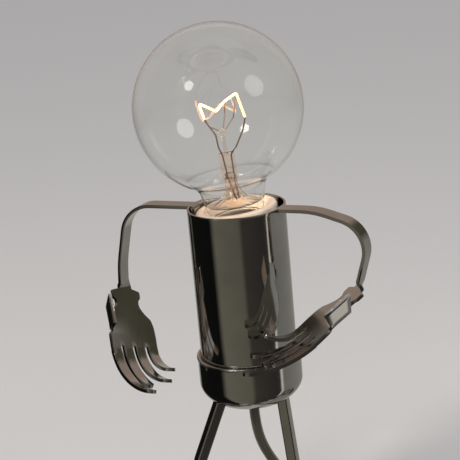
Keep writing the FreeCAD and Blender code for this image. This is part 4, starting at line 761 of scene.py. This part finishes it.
def make_arm(name, turn, path, bends, wrist, points_to, palm_faces, side, curls, steel):
    """An arm and its hand in one sheet. path, bends and wrist lie in the upright plane at turn."""
    out = Vector((cos(turn), sin(turn), 0.0))
    up = Vector((0.0, 0.0, 1.0))
    across = Vector((-sin(turn), cos(turn), 0.0))
    along = Vector(points_to).normalized()
    palm = Vector(palm_faces)
    palm = (palm - along * palm.dot(along)).normalized()
    hand_across = palm.cross(along)
    if across.dot(hand_across) < 0:
        across = -across
    columns = []
    at = -palm_half
    for finger in range(4):
        for k in range(finger_columns):
            columns.append(at + finger_width * k / finger_columns)
        at += finger_width
        if finger < 3:
            for k in range(gap_columns):
                columns.append(at + finger_gap * k / gap_columns)
            at += finger_gap
    columns.append(palm_half)
    sheet = bmesh.new()
    rows = []
    for place, way in bent_line(path, bends):
        middle = rim_centre + out * place.x + up * place.y
        rows.append([sheet.verts.new(middle + across * (c * strip_half / palm_half)) for c in columns])
        strip_end, strip_way = middle, out * way.x + up * way.y
    wrist_place = rim_centre + out * wrist[0] + up * wrist[1]
    span = (wrist_place - strip_end).length
    for k in range(1, wrist_steps):
        share = k / wrist_steps
        ease = share * share * (3 - 2 * share)
        bend_in = strip_end + strip_way * (span * share)
        bend_out = wrist_place - along * (span * (1 - share))
        middle = bend_in.lerp(bend_out, ease)
        wide = across.lerp(hand_across, ease).normalized()
        rows.append([sheet.verts.new(middle + wide * (c * strip_half / palm_half)) for c in columns])

    def hand_place(u, v, lift):
        return wrist_place + along * u + hand_across * (v * side) + palm * lift

    thumb_rows = []
    for u, finger_side, thumb_side in hand_widths:
        row = []
        rise = palm_dish * min(max((u - dish_start) / dish_run, 0.0), 1.0)
        for c in columns:
            v = c / palm_half * (finger_side if c * side > 0 else thumb_side) * side
            lift = rise * (c / palm_half) ** 2
            row.append(sheet.verts.new(hand_place(u, v, lift)))
        rows.append(row)
        if thumb_root[0] - rounding <= u <= thumb_root[1] + rounding:
            thumb_rows.append((u, row[0 if side > 0 else -1], rise))
    for low, high in zip(rows, rows[1:]):
        skin(sheet, low, high, closed=False)
    knuckles = rows[-1]
    for finger in range(4):
        number = finger if side < 0 else 3 - finger
        length, curl = finger_lengths[number], radians(curls[number])
        first = finger * (finger_columns + gap_columns)
        low = knuckles[first:first + finger_columns + 1]
        middle_v = (columns[first] + columns[first + finger_columns]) / 2
        radius = length / curl
        rise = palm_dish * (middle_v / palm_half) ** 2
        tip = length - finger_tip_round
        steps = [finger_step * k for k in range(1, int(tip / finger_step) + 1)]
        for k in range(1, finger_tip_steps + 1):
            steps.append(length - finger_tip_round * (1 - sin(radians(90 * k / finger_tip_steps))))
        for reach in steps:
            beyond = max(0.0, reach - tip)
            half = sqrt(max(finger_tip_round ** 2 - beyond ** 2, 0.0))
            half += finger_width / 2 - finger_tip_round
            angle = reach / radius
            u = knuckle_distance + radius * sin(angle)
            high = []
            for k in range(finger_columns + 1):
                v = middle_v + half * (2 * k / finger_columns - 1)
                lift = rise if reach > dish_fades_at else palm_dish * (v / palm_half) ** 2
                lift += radius * (1 - cos(angle))
                high.append(sheet.verts.new(hand_place(u, v * side, lift)))
            skin(sheet, low, high, closed=False)
            low = high
    grown = [[vertex for u, vertex, rise in thumb_rows]]
    for k in range(1, thumb_columns + 1):
        reach = thumb_length * k / thumb_columns
        folded = min(reach / thumb_fold_radius, thumb_fold)
        straight = max(0.0, reach - thumb_fold_radius * thumb_fold)
        sideways = thumb_fold_radius * sin(folded) + straight * cos(thumb_fold)
        lift = thumb_fold_radius * (1 - cos(folded)) + straight * sin(thumb_fold)
        strip = []
        for u, vertex, rise in thumb_rows:
            share = (u - thumb_root[0]) / (thumb_root[1] - thumb_root[0])
            near = thumb_root[0] + (thumb_edge[0] - thumb_root[0]) * k / thumb_columns
            far = thumb_root[1] + (thumb_edge[1] - thumb_root[1]) * k / thumb_columns
            u_out = near + (far - near) * share
            v = -(thumb_line + sideways)
            strip.append(sheet.verts.new(hand_place(u_out, v, lift + rise)))
        grown.append(strip)
    for low, high in zip(grown, grown[1:]):
        skin(sheet, low, high, closed=False)
    bmesh.ops.recalc_face_normals(sheet, faces=sheet.faces)
    arm = piece_from(sheet, name + "_sheet")
    wall = arm.modifiers.new("sheet_thickness", "SOLIDIFY")
    wall.thickness = sheet_thickness
    wall.offset = 0.0
    wall.use_even_offset = True
    edges = arm.modifiers.new("tumbled_edges", "BEVEL")
    edges.width = 0.00035
    edges.segments = 3
    edges.limit_method = "ANGLE"
    edges.angle_limit = radians(50.0)
    arm.data.materials.append(steel)
    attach(arm, "lamp")
    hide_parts(name)


left_steel = polished_steel("left_arm_steel", (1500.0, 120.0, 120.0), 0.05, 0.15)
right_steel = polished_steel("right_arm_steel", (120.0, 1500.0, 150.0), 0.05, 0.15)
make_arm(
    "left_arm", arm_turns[0],
    path=[(0.0253, -0.008), (0.0253, -0.001), (0.069, -0.001), (0.0774, -0.037), (0.0784, -0.0484)],
    bends=[0.0016, 0.02, 0.06],
    wrist=(0.0784, -0.0544), points_to=(0.09, -0.56, -0.82), palm_faces=(0.74, -0.51, 0.43),
    side=1, curls=(80.0, 76.0, 54.0, 72.0), steel=left_steel,
)
make_arm(
    "right_arm", arm_turns[1],
    path=[(0.0253, -0.008), (0.0253, -0.001), (0.0483, -0.0007), (0.0809, -0.0101), (0.0721, -0.0394)],
    bends=[0.0016, 0.05, 0.017],
    wrist=(0.0703, -0.0453), points_to=(-0.778, -0.26, -0.572), palm_faces=(-0.584, -0.038, 0.811),
    side=-1, curls=(75.0, 48.0, 34.0, 42.0), steel=right_steel,
)

# Legs and soles: square steel bar with rounded edges, bent at the knee and the ankle and screwed
# to the cup, on flat polished plates that are screwed on from below.
leg_steel = polished_steel("leg_steel", (900.0, 900.0, 120.0), 0.05, 0.16)
sole_steel = polished_steel("sole_steel", (900.0, 120.0, 900.0), 0.1, 0.24)
give_finish(leg_steel, "left_leg", "right_leg")
give_finish(sole_steel, "left_sole", "right_sole")

# Bulb envelope: a globe of thin clear glass, blown in one with its short neck, which narrows into
# the metal cap. The glass is a little uneven, as blown glass is.
globe_radius = 0.0474
globe_centre = 0.0567
glass_wall = 0.0008
neck_join = 0.017
neck_waist, neck_low, neck_end = 0.0186, 0.0166, 0.0136
waist_height, neck_low_height, neck_end_height = 0.01, 0.001, -0.0052
flare_reach, flare_rise = 0.34, 0.62
tuck_reach, tuck_drop = 0.8, 0.5
globe_steps, flare_steps, tuck_steps = 60, 10, 8


def through(first, middle, last, count):
    """Points on the circle through three points, from first to last."""
    ax, az = first
    bx, bz = middle
    cx, cz = last
    twice = 2 * (ax * (bz - cz) + bx * (cz - az) + cx * (az - bz))
    first_sq, middle_sq, last_sq = ax * ax + az * az, bx * bx + bz * bz, cx * cx + cz * cz
    ux = (first_sq * (bz - cz) + middle_sq * (cz - az) + last_sq * (az - bz)) / twice
    uz = (first_sq * (cx - bx) + middle_sq * (ax - cx) + last_sq * (bx - ax)) / twice
    start, mid, end = atan2(az - uz, ax - ux), atan2(bz - uz, bx - ux), atan2(cz - uz, cx - ux)
    forward = (mid - start) % (2 * pi) < (end - start) % (2 * pi)
    sweep = (end - start) % (2 * pi) if forward else -((start - end) % (2 * pi))
    radius = hypot(ax - ux, az - uz)
    points = []
    for k in range(count + 1):
        angle = start + sweep * k / count
        points.append((ux + radius * cos(angle), uz + radius * sin(angle)))
    return points


def envelope_outline(inset):
    """The globe and neck from the top to the cap, that far inside the outer face."""
    radius = globe_radius - inset
    join = sqrt(radius ** 2 - (globe_centre - neck_join) ** 2)
    waist, neck, end = neck_waist - inset, neck_low - inset, neck_end - inset
    top = globe_centre + radius
    outline = through((0.0, top), (radius, globe_centre), (join, neck_join), globe_steps)
    outline[0] = (0.0, top)
    flare_height = waist_height + (neck_join - waist_height) * flare_rise
    flare = (waist + (join - waist) * flare_reach, flare_height)
    outline += through((join, neck_join), flare, (waist, waist_height), flare_steps)[1:]
    outline.append((neck, neck_low_height))
    tuck_height = neck_low_height + (neck_end_height - neck_low_height) * tuck_drop
    tuck = (end + (neck - end) * tuck_reach, tuck_height)
    outline += through((neck, neck_low_height), tuck, (end, neck_end_height), tuck_steps)[1:]
    return outline


glass_outline = envelope_outline(0.0) + envelope_outline(glass_wall)[::-1]
envelope = lathe("bulb_envelope", glass_outline, holder_place, sides=144, sharp=80.0)
clear_glass, glass_tree, glass = new_finish("clear_glass")
glass_ripple = grain(glass_tree, 32.0, 1.0)
fill(glass, {
    "Transmission Weight": 1.0,
    "IOR": 1.46,
    "Base Color": (0.97, 0.97, 0.955, 1),
    "Roughness": spread(glass_tree, glass_ripple, 0.0, 0.012),
    "Normal": dented(glass_tree, glass_ripple, 0.05, 0.0005),
})
envelope.data.materials.append(clear_glass)
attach(envelope, "bulb")
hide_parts("bulb_glass")
envelope.visible_shadow = False

# Glass stem in the bulb: a thin flared tube, pinched flat round the lead wires, with a rod and a
# button on top that hold the supports. The pinched glass is wavy. The stem's warm colour is a
# painted glow of the filament's light.
stem_foot, stem_crown, stem_top = 0.0025, 0.0194, 0.0408
rod_radius = 0.0011
button_radius = 0.0024
button_height = 0.043
pinch_size = (0.0088, 0.0026, 0.0158)
pinch_height = 0.0235
pinch_round = 0.001
stem_outline = through((0.0155, stem_foot), (0.007, 0.0066), (0.0034, 0.016), 16)
stem_outline += [(0.0027, stem_crown), (0.0, stem_crown), (0.0, 0.0175), (0.0025, 0.0165)]
stem_outline += through((0.0026, 0.016), (0.0063, 0.0062), (0.0149, stem_foot), 16)
stem_flare = lathe("bulb_stem_glass", stem_outline, holder_place, sides=72)
rod_outline = [(0.0, 0.0295), (rod_radius, 0.0295), (rod_radius, stem_top)]
rod_outline += arc(0.0, button_height, button_radius, button_radius, -62, 90, 14)
rod_outline[-1] = (0.0, button_height + button_radius)
stem_rod = lathe("stem_rod", rod_outline, holder_place, sides=32)
pinch = bmesh.new()
bmesh.ops.create_cube(pinch, size=1.0)
bmesh.ops.scale(pinch, vec=pinch_size, verts=pinch.verts)
bmesh.ops.bevel(pinch, geom=pinch.edges[:], offset=pinch_round, segments=4, affect="EDGES", profile=0.5)
bmesh.ops.translate(pinch, vec=(0.0, 0.0, pinch_height), verts=pinch.verts)
pinch.transform(holder_place)
for face in pinch.faces:
    face.smooth = True
stem_bm = bmesh.new()
stem_bm.from_mesh(stem_flare.data)
stem_bm.from_mesh(stem_rod.data)
pinch_mesh = bpy.data.meshes.new("stem_pinch")
pinch.to_mesh(pinch_mesh)
stem_bm.from_mesh(pinch_mesh)
stem_bm.to_mesh(stem_flare.data)
bpy.data.objects.remove(stem_rod)
stem_glass_painted_glow = clear_glass.copy()
stem_glass_painted_glow.name = "stem_glass_painted_glow"
nodes = stem_glass_painted_glow.node_tree.nodes
# Warm base colour: painted glow of the filament's light on the clear stem glass.
nodes["Principled BSDF"].inputs["Base Color"].default_value = (1.0, 0.86, 0.74, 1)
nodes["Noise Texture"].inputs["Scale"].default_value = 420.0
nodes["Bump"].inputs["Strength"].default_value = 0.45
nodes["Map Range"].inputs["To Max"].default_value = 0.06
stem_flare.data.materials.append(stem_glass_painted_glow)
stem_flare.visible_shadow = False
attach(stem_flare, "bulb")
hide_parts("bulb_stem")

# Wires in the bulb: two nickel lead wires, three thin supports and the glowing filament that
# zigzags between them. Each follows its path, with small bends at its corners.
wire_tree, wire_in, wire_end = new_tree("bent_wires", {
    "Wire radius": "Float",
    "Bend radius": "Float",
    "Finish": "Material",
})
wire_path = add(wire_tree, "GeometryNodeMeshToCurve", {"Mesh": wire_in["Geometry"]})
wire_bends = add(wire_tree, "GeometryNodeFilletCurve", {
    "Curve": wire_path.outputs["Curve"],
    "Radius": wire_in["Bend radius"],
    "Count": 6,
    "Limit Radius": True,
}, mode="POLY")
wire_round = add(wire_tree, circle, {"Resolution": 12, "Radius": wire_in["Wire radius"]})
wire_tube = add(wire_tree, "GeometryNodeCurveToMesh", {
    "Curve": wire_bends.outputs["Curve"],
    "Profile Curve": wire_round.outputs["Curve"],
    "Fill Caps": True,
})
end_tree(wire_tree, wire_tube.outputs["Mesh"], wire_in["Finish"], wire_end)

lead_nickel, nickel_tree, nickel = new_finish("lead_nickel")
nickel_heat = grain(nickel_tree, 160.0)
fill(nickel, {
    "Metallic": 1.0,
    "Base Color": tint(nickel_tree, nickel_heat, (0.0, 0.12, 0.07, 0.05), (1.0, 0.4, 0.27, 0.2)),
    "Roughness": 0.35,
})
filament_glow, glow_tree, hot = new_finish("filament_glow")
glow_cloud = grain(glow_tree, 210.0)
fill(hot, {
    "Base Color": (0.9, 0.45, 0.1, 1),
    "Emission Color": tint(glow_tree, glow_cloud, (0.35, 1.0, 0.36, 0.06), (0.7, 1.0, 0.62, 0.22)),
    "Emission Strength": 9.0,
})

wire_sets = (
    ("bulb_leads", "lead_wires", "wire_metal", lead_nickel, 0.00045, 0.003, (
        (
            (0.0012, 0.0, 0.004), (-0.0012, 0.0, 0.016), (-0.0022, 0.0, 0.03),
            (-0.0036, 0.0, 0.0345), (-0.0039, -0.0005, 0.042), (-0.0085, -0.0015, 0.0515),
        ),
        (
            (0.0026, 0.0, 0.004), (0.0022, 0.0, 0.016), (0.0026, 0.0, 0.03),
            (0.0062, 0.0, 0.0336), (0.0116, -0.0005, 0.0425), (0.0138, -0.001, 0.049),
        ),
    )),
    ("bulb_supports", "support_wires", "wire_metal", lead_nickel, 0.0003, 0.002, (
        ((-0.0016, 0.0, 0.044), (-0.007, 0.0015, 0.047), (-0.0104, 0.002, 0.0606)),
        ((0.001, 0.0012, 0.045), (0.003, 0.006, 0.052), (0.0042, 0.007, 0.0584)),
        ((0.0019, 0.0, 0.044), (0.0075, 0.001, 0.05), (0.0112, 0.0015, 0.0628)),
    )),
    ("bulb_filament", "filament", "filament_wire", filament_glow, 0.00055, 0.0008, (
        (
            (-0.0085, -0.0015, 0.052), (-0.0103, 0.002, 0.0608), (-0.0015, 0.003, 0.0545),
            (0.0042, 0.007, 0.0586), (0.0112, 0.0015, 0.063), (0.0138, -0.001, 0.0494),
        ),
    )),
)
for name, node, slot, finish, wire_radius, bend_radius, paths in wire_sets:
    wire_mesh = bpy.data.meshes.new(name + "_paths")
    places, runs = [], []
    for path in paths:
        runs += [(len(places) + k, len(places) + k + 1) for k in range(len(path) - 1)]
        places += [holder_place @ Vector(place) for place in path]
    wire_mesh.from_pydata(places, runs, [])
    wires = from_tree(name, wire_mesh, wire_tree, {
        "Wire radius": wire_radius,
        "Bend radius": bend_radius,
        "Finish": finish,
    })
    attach(wires, "bulb")
    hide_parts(node)

# Room: a pale floor that the lamp stands on, soft lamps, and a dark surround that only shows in
# the polished steel, as the room does in the photograph. None of it belongs to the lamp.
floor_bm = bmesh.new()
bmesh.ops.create_grid(floor_bm, x_segments=1, y_segments=1, size=6.0)
floor = piece_from(floor_bm, "floor")
floor_paint, _, floor_surface = new_finish("floor_paint")
fill(floor_surface, {"Base Color": (0.79, 0.755, 0.73, 1), "Roughness": 0.9})
floor.data.materials.append(floor_paint)
floor.visible_glossy = False

surround_radius = 0.36
surround_sides = 96
surround_bm = bmesh.new()
surround_rows = []
for height in (-0.35, 0.9):
    row = []
    for k in range(surround_sides):
        angle = 2 * pi * k / surround_sides
        place = (surround_radius * cos(angle), surround_radius * sin(angle), height)
        row.append(surround_bm.verts.new(place))
    surround_rows.append(row)
skin(surround_bm, *surround_rows)
surround_bm.faces.new(surround_rows[0])
surround = piece_from(surround_bm, "surround")

surround_cloth, cloth_tree, cloth_surface = new_finish("surround_cloth")
cloth_tree.nodes.remove(cloth_surface)
cloth_coords = add(cloth_tree, "ShaderNodeTexCoord").outputs["Object"]
cloth_split = add(cloth_tree, "ShaderNodeSeparateXYZ", {"Vector": cloth_coords}).outputs
cloth_back = add(cloth_tree, "ShaderNodeMath", {0: cloth_split["Y"], 1: -1.0}, operation="MULTIPLY")
cloth_angle = add(cloth_tree, "ShaderNodeMath", {
    0: cloth_split["X"],
    1: cloth_back.outputs[0],
}, operation="ARCTAN2")
cloth_share = spread(cloth_tree, cloth_angle.outputs[0], 0.0, 1.0, -pi, pi)
# What the steel shows, by the angle round the lamp in degrees: from the side below, then above.
lower_bands = (
    (-180, (0.42, 0.4, 0.37)),
    (-155, (0.36, 0.35, 0.33)),
    (-146, (0.008, 0.008, 0.008)),
    (-68, (0.006, 0.006, 0.006)),
    (-56, (0.16, 0.155, 0.125)),
    (0, (0.13, 0.125, 0.1)),
    (9, (0.05, 0.045, 0.04)),
    (58, (0.035, 0.03, 0.03)),
    (67, (0.05, 0.045, 0.04)),
    (69, (0.75, 0.72, 0.66)),
    (71, (0.75, 0.72, 0.66)),
    (75, (0.2, 0.2, 0.19)),
    (150, (0.28, 0.27, 0.25)),
    (160, (0.42, 0.4, 0.37)),
)
upper_bands = (
    (-180, (0.36, 0.28, 0.235)),
    (-120, (0.3, 0.24, 0.2)),
    (-100, (0.05, 0.045, 0.04)),
    (-60, (0.06, 0.055, 0.045)),
    (-50, (0.5, 0.5, 0.48)),
    (-40, (0.16, 0.155, 0.125)),
    (20, (0.1, 0.095, 0.08)),
    (60, (0.3, 0.23, 0.19)),
    (84, (0.22, 0.17, 0.14)),
    (92, (0.05, 0.05, 0.035)),
    (128, (0.09, 0.085, 0.06)),
    (140, (0.36, 0.28, 0.235)),
)


def round_bands(bands):
    """The colour round the surround, from bands of (degrees, colour)."""
    return tint(cloth_tree, cloth_share, *(((turn + 180) / 360, *colour) for turn, colour in bands))


cloth_mix = add(cloth_tree, "ShaderNodeMix", {
    "Factor": spread(cloth_tree, cloth_split["Z"], 0.0, 1.0, 0.2, 0.27),
    "A": round_bands(lower_bands),
    "B": round_bands(upper_bands),
}, data_type="RGBA")
cloth_glow = add(cloth_tree, "ShaderNodeEmission", {"Color": cloth_mix.outputs["Result"]})
fill(cloth_tree.nodes["Material Output"], {"Surface": cloth_glow.outputs["Emission"]})
surround.data.materials.append(surround_cloth)
surround.visible_camera = False
surround.visible_diffuse = False
surround.visible_shadow = False
surround.visible_transmission = False
surround.visible_volume_scatter = False

world = bpy.data.worlds.new("room_light")
bpy.context.scene.world = world
world.use_nodes = True
fill(world.node_tree.nodes["Background"], {"Color": (0.9, 0.92, 0.95, 1), "Strength": 0.55})


def soft_lamp(name, place, aim, size, power, colour):
    """A round soft lamp that stands at place and shines at aim."""
    lamp_data = bpy.data.lights.new(name, "AREA")
    lamp_data.shape = "DISK"
    lamp_data.size = size
    lamp_data.energy = power
    lamp_data.color = colour
    lamp = in_scene(name, lamp_data)
    lamp.location = place
    lamp.rotation_euler = (Vector(aim) - Vector(place)).to_track_quat("-Z", "Y").to_euler()


soft_lamp("key_lamp", (-0.9, -0.9, 1.3), (0.0, 0.0, 0.18), 0.35, 11.0, (1.0, 0.96, 0.9))
soft_lamp("fill_lamp", (1.0, -0.6, 0.9), (0.0, 0.0, 0.15), 0.6, 3.0, (0.92, 0.95, 1.0))

glow_data = bpy.data.lights.new("filament_light", "POINT")
glow_data.energy = 0.06
glow_data.shadow_soft_size = 0.008
glow_data.color = (1.0, 0.5, 0.18)
glow_lamp = in_scene("filament_light", glow_data)
glow_lamp.location = holder_place @ Vector((0.0, 0.0, 0.056))
glow_lamp.visible_camera = False
glow_lamp.visible_glossy = False
glow_lamp.visible_transmission = False

bpy.context.scene.view_settings.view_transform = "Standard"
